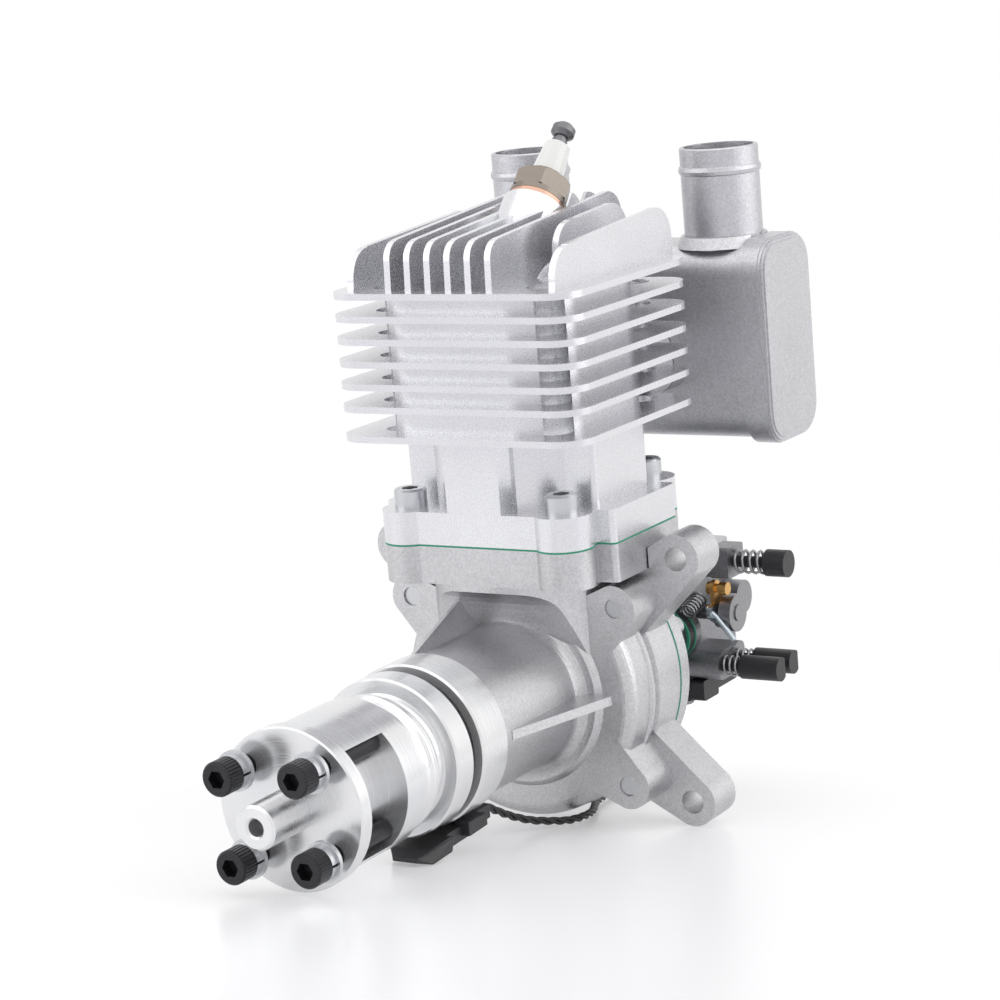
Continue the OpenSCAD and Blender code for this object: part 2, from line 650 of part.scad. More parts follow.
module muffler_body() color("darkgray") place() difference() {
    union() {
        difference() {
            union() {
                slab_x(-muffler_x, muffler_x) muffler_section();
                slab_y(exhaust_face + exhaust_gasket_t, muffler_front + 2)
                    round_rect(-exhaust_pitch / 2 - 5, port_z - 9, exhaust_pitch / 2 + 5, port_z + 9, 6);
                // Weld round the foot of each outlet, clear of the caps
                intersection() {
                    for (s = [-1, 1]) translate([s * outlet_x, muffler_y, muffler_z + muffler_h / 2 - 1])
                        cylinder(r1 = outlet_d / 2 + 2.6, r2 = outlet_d / 2 + 0.9, h = 3);
                    slab_x(cap_grip + fit - muffler_x, muffler_x - cap_grip - fit)
                        translate([muffler_front, muffler_z]) square([muffler_w, muffler_h]);
                }
            }
            slab_x(-muffler_x - 1, muffler_x + 1) muffler_section(-muffler_wall);
        }
        // Tubes through the muffler that let a key reach the exhaust screws
        for (s = [-1, 1]) rod_y(m5_head_r + 1.5, muffler_front + 0.5, muffler_y + muffler_w / 2 - 0.5,
            s * exhaust_pitch / 2, port_z);
    }
    slab_y(exhaust_face, muffler_front + 4) round_rect(-9.5, port_z - 5.5, 9.5, port_z + 5.5, 3);
    for (s = [-1, 1]) {
        rod_y(m5_r + 0.3, exhaust_face, muffler_y + muffler_w, s * exhaust_pitch / 2, port_z);
        rod_y(m5_head_r + 0.3, muffler_front + muffler_wall, muffler_y + muffler_w,
            s * exhaust_pitch / 2, port_z);
        translate([s * outlet_x, muffler_y, muffler_z + 5]) cylinder(r = outlet_d / 2 + fit, h = muffler_h);
    }
}

module exhaust_screws() color("gainsboro") place() for (s = [-1, 1])
    along_y(muffler_front + muffler_wall, s * exhaust_pitch / 2, port_z)
        socket_screw(m5_r, m5_head_r, m5_head_h, m5_key, muffler_front + muffler_wall - exhaust_face + 7);

// Pressed end cap: flat plate with a rounded lip over the body
module muffler_cap() difference() {
    union() {
        slab_x(muffler_x - cap_grip, muffler_x + cap_t - 1.6) muffler_section(cap_lip);
        slab_x(muffler_x + cap_t - 1.6 - eps, muffler_x + cap_t - 0.9) muffler_section(cap_lip - 0.25);
        slab_x(muffler_x + cap_t - 0.9 - eps, muffler_x + cap_t - 0.35) muffler_section(cap_lip - 0.8);
        slab_x(muffler_x + cap_t - 0.35 - eps, muffler_x + cap_t) muffler_section(cap_lip - 1.7);
    }
    slab_x(muffler_x - 3, muffler_x) muffler_section(fit);
    slab_x(muffler_x - eps, muffler_x + cap_t - 2) muffler_section(-muffler_wall);
}
module muffler_cap_right() color("darkgray") place() muffler_cap();
module muffler_cap_left() color("darkgray") place() mirror([1, 0, 0]) muffler_cap();

// Rolled outlet tubes with a bead near the top
tube_wall = 1.2;
bead_drop = 6.1;
module exhaust_outlets() color("silver") place() for (s = [-1, 1])
    translate([s * outlet_x, muffler_y, muffler_z + muffler_h / 2 - muffler_wall - 1])
        rotate_extrude() {
            r = outlet_d / 2;
            top = outlet_len + muffler_wall + 1;
            polygon([[r - tube_wall, 0], [r, 0], [r, top - bead_drop - 1.2],
                [r + 0.35, top - bead_drop - 0.9],
                     [r + 0.6, top - bead_drop], [r + 0.35, top - bead_drop + 0.9],
                         [r, top - bead_drop + 1.2],
                     [r, top - 0.3], [r - 0.3, top], [r - tube_wall, top]]);
        }

// Propeller hub, from its front face rearward
hub_front = -hub_y;
window_front = hub_front + plate_t;
window_rear = window_front + window_len;
drum_rear = window_rear + hub_drum_len;
magnet_ring_front = hub_rear - magnet_ring_w;
screw_angles = [for (i = [0 : 3]) screw_turn + 90 * i];
module screw_places() for (a = screw_angles)
    translate([screw_circle / 2 * cos(a), 0, screw_circle / 2 * sin(a)]) children();
magnet_angle = 130;

module prop_hub() color("lightgray") place() difference() {
    cove_r = 4.2;
    cove = [hub_drum_r + 1.9, drum_rear + 2.9];
    lip_y = magnet_ring_front - 4.6;
    turned(concat(
        [[4.1, hub_front], [plate_r - 0.4, hub_front], [plate_r, hub_front + 0.4],
            [plate_r, window_front - 0.4],
         [plate_r - 0.4, window_front], [hub_drum_r, window_front], [hub_drum_r, drum_rear - 0.5],
         [hub_drum_r - 0.5, drum_rear]],
        arc_points(cove, cove_r, 230, 141, 6),
        [[hub_drum_r - 1.2, lip_y - 1.6], [hub_drum_r - 1.2, lip_y - 0.3], [hub_drum_r - 1.6, lip_y + 0.1],
         [15.5, lip_y + 0.6], [15.5, magnet_ring_front - 1.2], [15.9, magnet_ring_front - 0.4],
         [16.7, magnet_ring_front]],
        [[magnet_ring_r - 0.5, magnet_ring_front], [magnet_ring_r, magnet_ring_front + 0.5],
         [magnet_ring_r, hub_rear - 0.5], [magnet_ring_r - 0.5, hub_rear], [8.2, hub_rear],
         [8.2, front_bearing_y], [front_journal_r + fit, front_bearing_y],
         [front_journal_r + fit, drum_rear], [4.1, drum_rear]]));
    // Side windows between the two plates
    for (s = [-1, 1]) difference() {
        translate([s > 0 ? 0 : -30, window_front, -window_z]) cube([30, window_len, 2 * window_z]);
        rod_y(core_r, window_front - 1, window_rear + 1);
    }
    screw_places() rod_y(m5_r + 0.25, hub_front - 1, window_front + 1);
    screw_places() rod_y(m5_r + thread_gap, window_front, drum_rear - 1);
    rotate([0, -magnet_angle, 0]) rod_x(2 + fit, magnet_ring_r - 3.2, magnet_ring_r + 2,
        magnet_ring_front + magnet_ring_w / 2);
}

module hub_magnet() color("dimgray") place() rotate([0, -magnet_angle, 0])
    rod_x(2, magnet_ring_r - 3.1, magnet_ring_r - 0.3, magnet_ring_front + magnet_ring_w / 2);

flat_washer_t = 1.2;
lock_washer_t = 2;
screw_head_y = hub_front - screw_stand - flat_washer_t - lock_washer_t;
module prop_screws() color("dimgray") place() screw_places()
    translate([0, screw_head_y, 0]) rotate([90, 0, 0])
        socket_screw(m5_r, m5_head_r, m5_head_h, m5_key, drum_rear - 2 - screw_head_y);

module prop_washers() color("gainsboro") place() screw_places() {
    difference() {
        union() {
            rod_y(5, hub_front - screw_stand - flat_washer_t, hub_front - screw_stand);
            rod_y(4.3, screw_head_y + eps, hub_front - screw_stand - flat_washer_t - eps);
        }
        rod_y(m5_r + fit, screw_head_y - 1, hub_front + 1);
        // Split of the spring washer
        translate([2, screw_head_y - 1, -0.3]) cube([5, lock_washer_t + 1 - eps, 0.6]);
    }
}

module hub_bolt() color("gainsboro") place() difference() {
    turned([[0.01, hub_front - boss_len], [boss_d / 2 - 0.6, hub_front - boss_len],
            [boss_d / 2, hub_front - boss_len + 0.6], [boss_d / 2, hub_front], [4.05, hub_front],
            [4.05, drum_rear + 8], [0.01, drum_rear + 8]]);
    rod_y(2.1, hub_front - boss_len - 1, hub_front - boss_len + 12);
    along_y(hub_front - boss_len - eps) cylinder(r1 = 2.6, r2 = 2.1, h = 0.5);
}

// Crankshaft with one web; the pin end of the rod runs just behind the web
pin_gap = 0.3;
module crankshaft() color("gray") place() difference() {
    union() {
        turned([[0.01, drum_rear + 0.4], [front_journal_r - 0.5, drum_rear + 0.4],
            [front_journal_r, drum_rear + 0.9],
                [front_journal_r, front_bearing_y + front_bearing_w],
                    [front_journal_r + 1.1, front_bearing_y + front_bearing_w],
                [front_journal_r + 1.1, rear_bearing_y - 1], [rear_journal_r, rear_bearing_y - 0.6],
                [rear_journal_r, rear_bearing_y + rear_bearing_w], [10, rear_bearing_y + rear_bearing_w],
                [10, web_front + 1], [0.01, web_front + 1]]);
        slab_y(web_front, web_rear) intersection() {
            circle(web_r);
            union() {
                polygon([[-40, 2], [40, 2], [40, 40], [-40, 40]]);
                polygon([[-web_r, 3], [web_r, 3], [10, -crank_r - 6], [-10, -crank_r - 6]]);
                translate([0, -crank_r]) circle(9.6);
            }
        }
    }
    rod_y(4.1, drum_rear - 1, drum_rear + 10);
    // Lightening cuts beside the pin
    for (s = [-1, 1]) rod_y(4, web_front - 1, web_rear + 1, s * 15.5, 4);
}

module crankpin() color("gainsboro") place() difference() {
    rod_y(crankpin_d / 2, web_rear + pin_gap, rod_width / 2 + 1.5, 0, -crank_r);
    rod_y(2, web_rear, rod_width / 2 + 2, 0, -crank_r);
}

// Ball bearing rings with their running grooves, and the caged balls between them
module outer_ring(r, w, land, pitch, ball_r, y) difference() {
    turned([[land, y], [r - 0.3, y], [r, y + 0.3], [r, y + w - 0.3], [r - 0.3, y + w], [land, y + w]]);
    along_y(y + w / 2) rotate_extrude() translate([pitch, 0]) circle(ball_r + 0.12);
}
module inner_ring(r, w, land, pitch, ball_r, y) difference() {
    turned([[r + fit, y], [land, y], [land, y + w], [r + fit, y + w]]);
    along_y(y + w / 2) rotate_extrude() translate([pitch, 0]) circle(ball_r + 0.12);
}
module ball_cage(w, pitch, ball_r, balls, y) {
    ball_places = [for (i = [0 : balls - 1]) 360 / balls * i];
    for (a = ball_places) translate([pitch * cos(a), y + w / 2, pitch * sin(a)]) sphere(r = ball_r,
        $fn = 24);
    difference() {
        turned([[pitch - 0.9, y + 0.8], [pitch + 0.9, y + 0.8], [pitch + 0.9, y + w - 0.8],
            [pitch - 0.9, y + w - 0.8]]);
        for (a = ball_places) rotate([0, -a, 0]) rod_x(ball_r + 0.15, pitch - 3, pitch + 3, y + w / 2);
    }
}
front_pitch = 10;
front_ball_r = 2.38;
rear_pitch = 12.5;
rear_ball_r = 3;
ball_count = 8;
module front_bearing_outer() color("gainsboro") place()
    outer_ring(front_bearing_r, front_bearing_w, front_pitch + 1.7, front_pitch, front_ball_r,
        front_bearing_y);
module front_bearing_inner() color("gainsboro") place()
    inner_ring(front_journal_r, front_bearing_w, front_pitch - 1.7, front_pitch, front_ball_r,
        front_bearing_y);
module front_ball_cage() color("darkkhaki") place()
    ball_cage(front_bearing_w, front_pitch, front_ball_r, ball_count, front_bearing_y);
module rear_bearing_outer() color("gainsboro") place()
    outer_ring(rear_bearing_r, rear_bearing_w, rear_pitch + 2.1, rear_pitch, rear_ball_r, rear_bearing_y);
module rear_bearing_inner() color("gainsboro") place()
    inner_ring(rear_journal_r, rear_bearing_w, rear_pitch - 2.1, rear_pitch, rear_ball_r, rear_bearing_y);
module rear_ball_cage() color("darkkhaki") place()
    ball_cage(rear_bearing_w, rear_pitch, rear_ball_r, ball_count, rear_bearing_y);

module front_oil_seal() color("black") place()
    turned([[8.25, ring_front + 0.1], [front_bearing_r, ring_front + 0.1],
        [front_bearing_r, ring_front + seal_w],
            [11, ring_front + seal_w], [11, ring_front + 1.4], [9, ring_front + 1.4],
            [8.25, ring_front + 2.4]]);

// Connecting rod with its needle bearings
big_eye_r = crankpin_d / 2 + 2.1;
small_eye_r = wrist_pin_d / 2 + 2.1;
rod_wall = 2.6;
module connecting_rod() color("gray") place() difference() {
    union() {
        rod_y(big_eye_r + rod_wall, -rod_width / 2, rod_width / 2, 0, -crank_r);
        rod_y(small_eye_r + rod_wall, -rod_width / 2, rod_width / 2, 0, pin_rest_z);
        slab_y(-rod_width / 2 + 1, rod_width / 2 - 1)
            polygon([[-7.4, -crank_r + 5], [7.4, -crank_r + 5], [5.2, pin_rest_z - 5],
                [-5.2, pin_rest_z - 5]]);
    }
    rod_y(big_eye_r, -rod_width, rod_width, 0, -crank_r);
    rod_y(small_eye_r, -rod_width, rod_width, 0, pin_rest_z);
    for (s = [-1, 1]) slab_y(s > 0 ? 1.1 : -rod_width, s > 0 ? rod_width : -1.1)
        polygon([[-4.4, -crank_r + big_eye_r + 5], [4.4, -crank_r + big_eye_r + 5],
                 [3, pin_rest_z - small_eye_r - 5], [-3, pin_rest_z - small_eye_r - 5]]);
}

module needle_cage(r_in, z, count) {
    w = rod_width - 0.4;
    for (i = [0 : count - 1]) rotate_about(z, 360 / count * i) rod_y(0.95, -w / 2 + 0.8, w / 2 - 0.8,
        r_in + 1.05, z);
    difference() {
        rod_y(r_in + 1.6, -w / 2, w / 2, 0, z);
        rod_y(r_in + 0.5, -w, w, 0, z);
        for (i = [0 : count - 1]) rotate_about(z, 360 / count * i)
            rod_y(1.02, -w / 2 + 0.7, w / 2 - 0.7, r_in + 1.05, z);
    }
}
module rotate_about(z, a) translate([0, 0, z]) rotate([0, a, 0]) translate([0, 0, -z]) children();

module big_end_bearing() color("darkkhaki") place() needle_cage(crankpin_d / 2, -crank_r, 12);
module small_end_bearing() color("darkkhaki") place() needle_cage(wrist_pin_d / 2, pin_rest_z, 12);

wrist_len = bore_d - 6;
module wrist_pin() color("gainsboro") place() difference() {
    rod_y(wrist_pin_d / 2, -wrist_len / 2, wrist_len / 2, 0, pin_rest_z);
    rod_y(wrist_pin_d / 2 - 1.8, -wrist_len, wrist_len, 0, pin_rest_z);
}
module wrist_pin_clips() color("dimgray") place() for (s = [-1, 1]) difference() {
    rod_y(wrist_pin_d / 2 + 0.5, s * (wrist_len / 2 + 0.75) - 0.5, s * (wrist_len / 2 + 0.75) + 0.5, 0,
        pin_rest_z);
    rod_y(wrist_pin_d / 2 - 0.5, -bore_d, bore_d, 0, pin_rest_z);
    translate([-1.2, -bore_d, pin_rest_z - 9]) cube([2.4, 2 * bore_d, 9]);
}

ring_h = 1.2;
ring_drops = [3.2, 6.4];
piston_r = bore_r - piston_gap;
module piston() color("silver") place() difference() {
    union() {
        translate([0, 0, bdc_z - piston_len]) cylinder(r = piston_r, h = piston_len - 0.6);
        translate([0, 0, bdc_z - 0.6 - eps]) cylinder(r1 = piston_r, r2 = piston_r - 0.6, h = 0.6 + eps);
    }
    // Hollow inside, with the two bosses for the wrist pin left standing
    difference() {
        translate([0, 0, bdc_z - piston_len - 1]) cylinder(r = piston_r - 2.6, h = piston_len - 4.5);
        for (s = [-1, 1]) rod_y(wrist_pin_d / 2 + 3, s > 0 ? rod_width / 2 + 1 : -bore_r,
            s > 0 ? bore_r : -rod_width / 2 - 1, 0, pin_rest_z);
    }
    rod_y(wrist_pin_d / 2, -bore_d, bore_d, 0, pin_rest_z);
    for (s = [-1, 1]) rod_y(wrist_pin_d / 2 + 0.55, s * (wrist_len / 2 + 0.75) - 0.55,
        s * (wrist_len / 2 + 0.75) + 0.55, 0, pin_rest_z);
    for (d = ring_drops) translate([0, 0, bdc_z - d - ring_h]) difference() {
        cylinder(r = bore_r + 2, h = ring_h + 0.1);
        translate([0, 0, -1]) cylinder(r = piston_r - 1.8, h = ring_h + 3);
    }
}
module piston_rings() color("dimgray") place() for (d = ring_drops) translate([0, 0,
    bdc_z - d - ring_h + 0.05]) difference() {
    cylinder(r = bore_r - 0.02, h = ring_h);
    translate([0, 0, -1]) cylinder(r = piston_r - 1.7, h = ring_h + 2);
    // Ring gap
    translate([-0.2, 0, -1]) cube([0.4, bore_d, ring_h + 2]);
}

// Machined ring on the nose that carries the ignition sensor
module sensor_ring() color("lightgray") place() difference() {
    turned([[sensor_ring_r - 2.65, ring_front], [sensor_ring_r - 0.5, ring_front],
        [sensor_ring_r, ring_front + 0.5],
            [sensor_ring_r, ring_rear - 0.9], [sensor_ring_r - 0.4, ring_rear - 0.5],
                [sensor_ring_r - 0.4, ring_rear],
            [sensor_ring_r - 2.65, ring_rear]]);
    // Slot under the ring that the sensor's foot sits in
    translate([sensor_x - 4, ring_front + 2.5, -sensor_ring_r - 5]) cube([8, sensor_ring_w - 5, 5 + 1.5]);
}

// Sensor moulding: a head under the magnet ring, a bar and a rear socket for the lead
sensor_x = 4.5;
module hall_sensor() color("dimgray") place() difference() {
    union() {
        slab_x(sensor_x - sensor_w / 2, sensor_x + sensor_w / 2)
            polygon([[magnet_ring_front - 8, -sensor_ring_r - 2.6],
                [magnet_ring_front - 3.6, -sensor_ring_r - 0.4],
                     [ring_rear + 3, -sensor_ring_r - 0.3], [ring_rear + 3, -sensor_ring_r - 3.6],
                     [ring_front - 1, -sensor_ring_r - 4.4], [magnet_ring_front - 4, -sensor_ring_r - 5.6],
                     [magnet_ring_front - 7, -sensor_ring_r - 4.8]]);
        slab_x(sensor_x - 3.6, sensor_x + 3.6)
            polygon([[ring_rear - 3, -sensor_ring_r - 0.4], [ring_rear + 9, -nose_r - 0.4],
                     [ring_rear + 9, -nose_r - 4.2], [ring_rear - 3, -sensor_ring_r - 4.6]]);
        // Foot in the slot of the ring
        translate([sensor_x - 3.9, ring_front + 2.6, -sensor_ring_r - 1]) cube([7.8,
            sensor_ring_w - 5.2, 2.3]);
    }
    rod_y(sensor_ring_r + 0.05, ring_front - 20, ring_front + 2.5);
    rod_y(sensor_ring_r + 0.05, ring_rear - 2.5, ring_rear + 0.5);
    // Running room for the magnet ring
    rod_y(magnet_ring_r + 0.9, ring_front - 30, ring_front - 0.5);
    // Room for the cast nose behind the ring
    rod_y(nose_r + 0.3, ring_rear - 0.5, -drum_front - 5);
}

// Sensor lead: straight out of its socket, down to the surface and rearward under the case.
// The surface falls to the rear, because the engine rests on its hub and its lower legs.
lead_rest = -36;
lead_fall = 0.145;
lead_drop = [[4.5, ring_rear + 9.05, -nose_r - 2.3], [4.5, ring_rear + 10.4, -nose_r - 2.35],
             [4.6, -40.5, -22.9], [5, -36.5, -25.2], [6, -31.5, -28], [8, -26, -30.6], [10.4, -20, -32.5]];
lead_floor = [[12.4, -14], [13, -8], [12, -2], [9.5, 4], [6.5, 10], [4, 17], [2.5, 24], [1.5, 31],
              [1, 38], [0.5, 45], [-0.5, 51], [-3.5, 56], [-8, 58.5], [-12.5, 57], [-15.2, 52.5],
              [-16, 46], [-16, 39], [-16, 33]];
lead_route = concat(lead_drop, [for (p = lead_floor) [p[0], p[1], lead_rest - lead_fall * p[1]]]);
function unit(v) = v / norm(v);
function side_of(d) = unit(cross(d, [0, 0, 1]));
module swept(route, r, sides) {
    n = len(route);
    dirs = [for (i = [0 : n - 1]) unit(route[min(i + 1, n - 1)] - route[max(i - 1, 0)])];
    rings = [for (i = [0 : n - 1]) let (s = side_of(dirs[i]), u = cross(s, dirs[i]))
        for (k = [0 : sides - 1]) route[i] + r * (s * cos(360 * k / sides) + u * sin(360 * k / sides))];
    walls = [for (i = [0 : n - 2], k = [0 : sides - 1]) let (a = i * sides + k,
        b = i * sides + (k + 1) % sides)
        [a, b, b + sides, a + sides]];
    ends = [[for (k = [sides - 1 : -1 : 0]) k], [for (k = [0 : sides - 1]) (n - 1) * sides + k]];
    polyhedron(points = rings, faces = concat(walls, ends), convexity = 6);
}
module sensor_lead() color("dimgray") place() swept(lead_route, lead_d / 2, 8);

plug_len = 14;
lead_end = lead_route[len(lead_route) - 1];
module sensor_plug() color("dimgray") place() translate([lead_end[0], lead_end[1],
    lead_end[2]]) rotate([-atan(lead_fall), 0, 0]) {
    difference() {
        translate([-3.9, -plug_len - eps, -1.2]) cube([7.8, plug_len, 3.2]);
        for (x = [-2.54, 0, 2.54]) translate([x - 0.5, -plug_len - 1, -0.1]) cube([1, 8, 1]);
    }
    translate([-2.6, -0.8, -1.2]) cube([5.2, 0.8, 3]);
}

// Intake side: reed block inside the cover's neck, insulator and gaskets
intake_gasket_t = 0.6;
gasket_a = carb_y - intake_gasket_t;
insulator_y = gasket_a - insulator_t;
gasket_b = insulator_y - intake_gasket_t;
reed_rear = gasket_b;
reed_front = reed_rear - 8;
module intake_outline(r_mid, r_end) for (s = [-1, 1])
    capsule([0, carb_z - 1], r_mid, [s * carb_pitch / 2, carb_z - bolt_drop], r_end);
module intake_bolt_holes(r, y0, y1) for (s = [-1, 1]) rod_y(r, y0, y1, s * carb_pitch / 2,
    carb_z - bolt_drop);

module reed_block() color("dimgray") place() difference() {
    union() {
        slab_y(reed_front, reed_rear) intake_outline(13.2, 6.4);
        slab_x(-reed_x, reed_x) polygon([[reed_front + 1, carb_z - reed_z(reed_front + 1)],
            [reed_front + 1, carb_z + reed_z(reed_front + 1)], [wedge_tip, carb_z + reed_z(wedge_tip)],
            [wedge_tip, carb_z - reed_z(wedge_tip)]]);
    }
    // Passage that opens through both slopes of the wedge
    slab_x(-reed_x + 2, -0.8) polygon(reed_hollow());
    slab_x(0.8, reed_x - 2) polygon(reed_hollow());
    rod_y(throttle_d / 2 - 1, reed_front + 3, reed_rear + 1, 0, carb_z);
    intake_bolt_holes(m4_r + 0.2, reed_front - 1, reed_rear + 1);
}
reed_x = neck_x - neck_wall_x - 0.3;
wedge_tip = cover_y + 1.5;
// Half height of the wedge at a place along the crank axis
function reed_z(y) = 0.9 + (y - wedge_tip) * (neck_z - neck_wall_z - 1.5) / (reed_front + 1 - wedge_tip);
function reed_hollow() = [[reed_front + 4, carb_z - 7], [reed_front + 4, carb_z + 7],
    [reed_front - 3, carb_z + 12],
                          [cover_y + 6.5, carb_z + 9], [cover_y + 4.5, carb_z], [cover_y + 6.5, carb_z - 9],
                          [reed_front - 3, carb_z - 12]];

// Two thin spring steel petals lie on the slopes of the wedge
petal_gap = 0.05;
petal_t = 0.3;
module reed_petals() color("lightsteelblue") place() for (s = [-1, 1])
    slab_x(-reed_x + 0.6, reed_x - 0.6) polygon([for (q = [[reed_front - 1, petal_gap],
        [reed_front - 1, petal_gap + petal_t],
        [wedge_tip + 0.5, petal_gap + petal_t], [wedge_tip + 0.5, petal_gap]]) [q[0],
            carb_z + s * (reed_z(q[0]) + q[1])]]);

module intake_gaskets() color("seagreen") place() for (y = [gasket_a, gasket_b]) difference() {
    slab_y(y, y + intake_gasket_t) intake_outline(14.2, 7.2);
    rod_y(throttle_d / 2, y - 1, y + 2, 0, carb_z);
    intake_bolt_holes(m4_r + 0.2, y - 1, y + 2);
}

module insulator_block() color("darkslategray") place() difference() {
    slab_y(insulator_y, insulator_y + insulator_t) intake_outline(14, 7);
    rod_y(throttle_d / 2 - 0.5, insulator_y - 1, carb_y, 0, carb_z);
    intake_bolt_holes(m4_r + 0.2, insulator_y - 1, carb_y);
}

// Carburettor body with its shaft bosses and the two screw blocks on the right
carb_rear = carb_y + carb_len;
throttle_y = carb_y + 7.5;
choke_y = carb_y + 24.5;
needle_z = carb_z - 13.8;
needle_face = 27.6;
high_y = carb_y + 2.6;
low_y = carb_y + 10.6;
idle_y = carb_y + 6.5;
idle_z = body_up + 1.8;
idle_face = 31.6;
spring_h = 5.6;
boss_r = 5.2;
module carb_body() color("gray") place() difference() {
    union() {
        slab_x(-carb_x, carb_x) round_rect(carb_y, -body_down, carb_rear, body_up, 2.5);
        // Mounting flange
        slab_y(carb_y, carb_y + 3.4) intake_outline(14, 7);
        // Needle block
        slab_x(0, needle_face) round_rect(carb_y + 0.6, needle_z - 4.2, carb_y + 16.5, needle_z + 4, 2.5);
        for (y = [high_y, low_y]) rod_x(3.9, carb_x, needle_face + 0.6, y, needle_z);
        // Idle screw block on its arm above the body
        slab_x(idle_face - 5.4, idle_face) round_rect(idle_y - 4.4, idle_z - 4.2, idle_y + 5.2,
            idle_z + 4.4, 1);
        slab_x(8, idle_face - 5) round_rect(idle_y - 3.4, idle_z - 4.2, idle_y + 4, idle_z + 2.2, 1);
        // Shaft bosses on both sides and the air horn at the rear
        for (y = [throttle_y, choke_y]) rod_x(boss_r, -carb_x - 2.2, carb_x + 0.6, y, carb_z);
        rod_y(11.4, carb_rear - eps, carb_rear + 2.5, 0, carb_z);
    }
    rod_y(throttle_d / 2, carb_y - 1, carb_rear + 3, 0, carb_z);
    along_y(carb_rear - 6, 0, carb_z) cylinder(r1 = throttle_d / 2, r2 = throttle_d / 2 + 1.4, h = 8.6);
    for (y = [throttle_y, choke_y]) rod_x(shaft_d / 2 + fit, -60, 60, y, carb_z);
    intake_bolt_holes(m4_r + 0.2, carb_y - 1, carb_rear + 3);
    for (y = [high_y, low_y]) rod_x(1.6 + fit, throttle_d / 2 + 2, 40, y, needle_z);
    rod_x(1.6 + fit, idle_face - 16, 40, idle_y, idle_z);
}

cover_plate_t = 3;
module cover_plate(z0, grow) translate([0, 0, z0]) linear_extrude(cover_plate_t)
    round_rect(-carb_x - grow, carb_y + 1.4, carb_x + grow, carb_rear - 0.6, 3);
module cover_screw_places() for (x = [-carb_x + 4, carb_x - 4], y = [carb_y + 5, carb_rear - 4.2])
    translate([x, y, -body_down - cover_plate_t]) children();

// Upper cover with the fuel inlet elbow and one screw
elbow = [-4, carb_y + 19, body_up + cover_plate_t];
pump_screw = [9, carb_y + 22, body_up + cover_plate_t];
module pump_cover() color("darkgray") place() difference() {
    union() {
        difference() {
            cover_plate(body_up, 0.8);
            // Room for the arm of the idle screw
            translate([6, carb_y, body_up - 1]) cube([30, idle_y + 5 - carb_y, 10]);
        }
        translate(elbow - [0, 0, eps]) cylinder(r = 7, h = 1.6);
        translate(elbow) cylinder(r = 2.4, h = 5.4);
        rod_x(1.8, -16.5, elbow[0], elbow[1], elbow[2] + 4);
        rod_x(2.2, -16.5, -15, elbow[1], elbow[2] + 4);
    }
    rod_x(1, -17, elbow[0], elbow[1], elbow[2] + 4);
    translate(pump_screw - [0, 0, 5]) cylinder(r = 1.6, h = 8);
}

// Lower cover: round diaphragm housing and a block beside the body
module metering_cover() color("black") place() difference() {
    union() {
        cover_plate(-body_down - cover_plate_t, 0.9);
        translate([0, carb_y + 15, -body_down - cover_plate_t - 1.6]) cylinder(r = 10.5, h = 2);
        slab_x(carb_x + 0.2, carb_x + 4.6)
            round_rect(carb_y + 0.4, -body_down - cover_plate_t + 0.6, carb_y + 9, needle_z - 4.5, 0.8);
    }
    cover_screw_places() translate([0, 0, -1]) cylinder(r = 1.6, h = 8);
    translate([0, carb_y + 15, -body_down - cover_plate_t - 3]) cylinder(r = 1.2, h = 4);
}

module carb_screws() color("gainsboro") place() {
    for (s = [-1, 1]) along_y(carb_rear, s * carb_pitch / 2, carb_z - bolt_drop)
        socket_screw(m4_r, m4_head_r, m4_head_h, m4_key, carb_rear - neck_rear + 6);
    cover_screw_places() mirror([0, 0, 1]) pan_screw();
    translate(pump_screw) pan_screw();
}
module pan_screw() {
    difference() {
        cylinder(r1 = 2.8, r2 = 2.3, h = 1.6);
        translate([-0.35, -4, 0.9]) cube([0.7, 8, 2]);
        translate([-4, -0.35, 0.9]) cube([8, 0.7, 2]);
    }
    translate([0, 0, -cover_plate_t + 0.2]) cylinder(r = 1.5, h = cover_plate_t);
}

// Butterfly on its shaft, closed at rest
butterfly_tilt = 12;
module butterfly(y) {
    intersection() {
        rod_y(throttle_d / 2 - 0.15, y - 12, y + 12, 0, carb_z);
        translate([0, y, carb_z]) rotate([-butterfly_tilt, 0, 0]) cube([2 * throttle_d, 0.6,
            2 * throttle_d], center = true);
    }
}
lever_x = carb_x + 7.4;
lever_t = 1.1;
disc_x = lever_x + lever_t + 1;
disc_t = 3.5;
module throttle_shaft() color("gainsboro") place() {
    rod_x(shaft_d / 2, -carb_x - 3.4, disc_x + disc_t + 0.4, throttle_y, carb_z);
    rod_x(boss_r, disc_x, disc_x + disc_t, throttle_y, carb_z);
    butterfly(throttle_y);
}

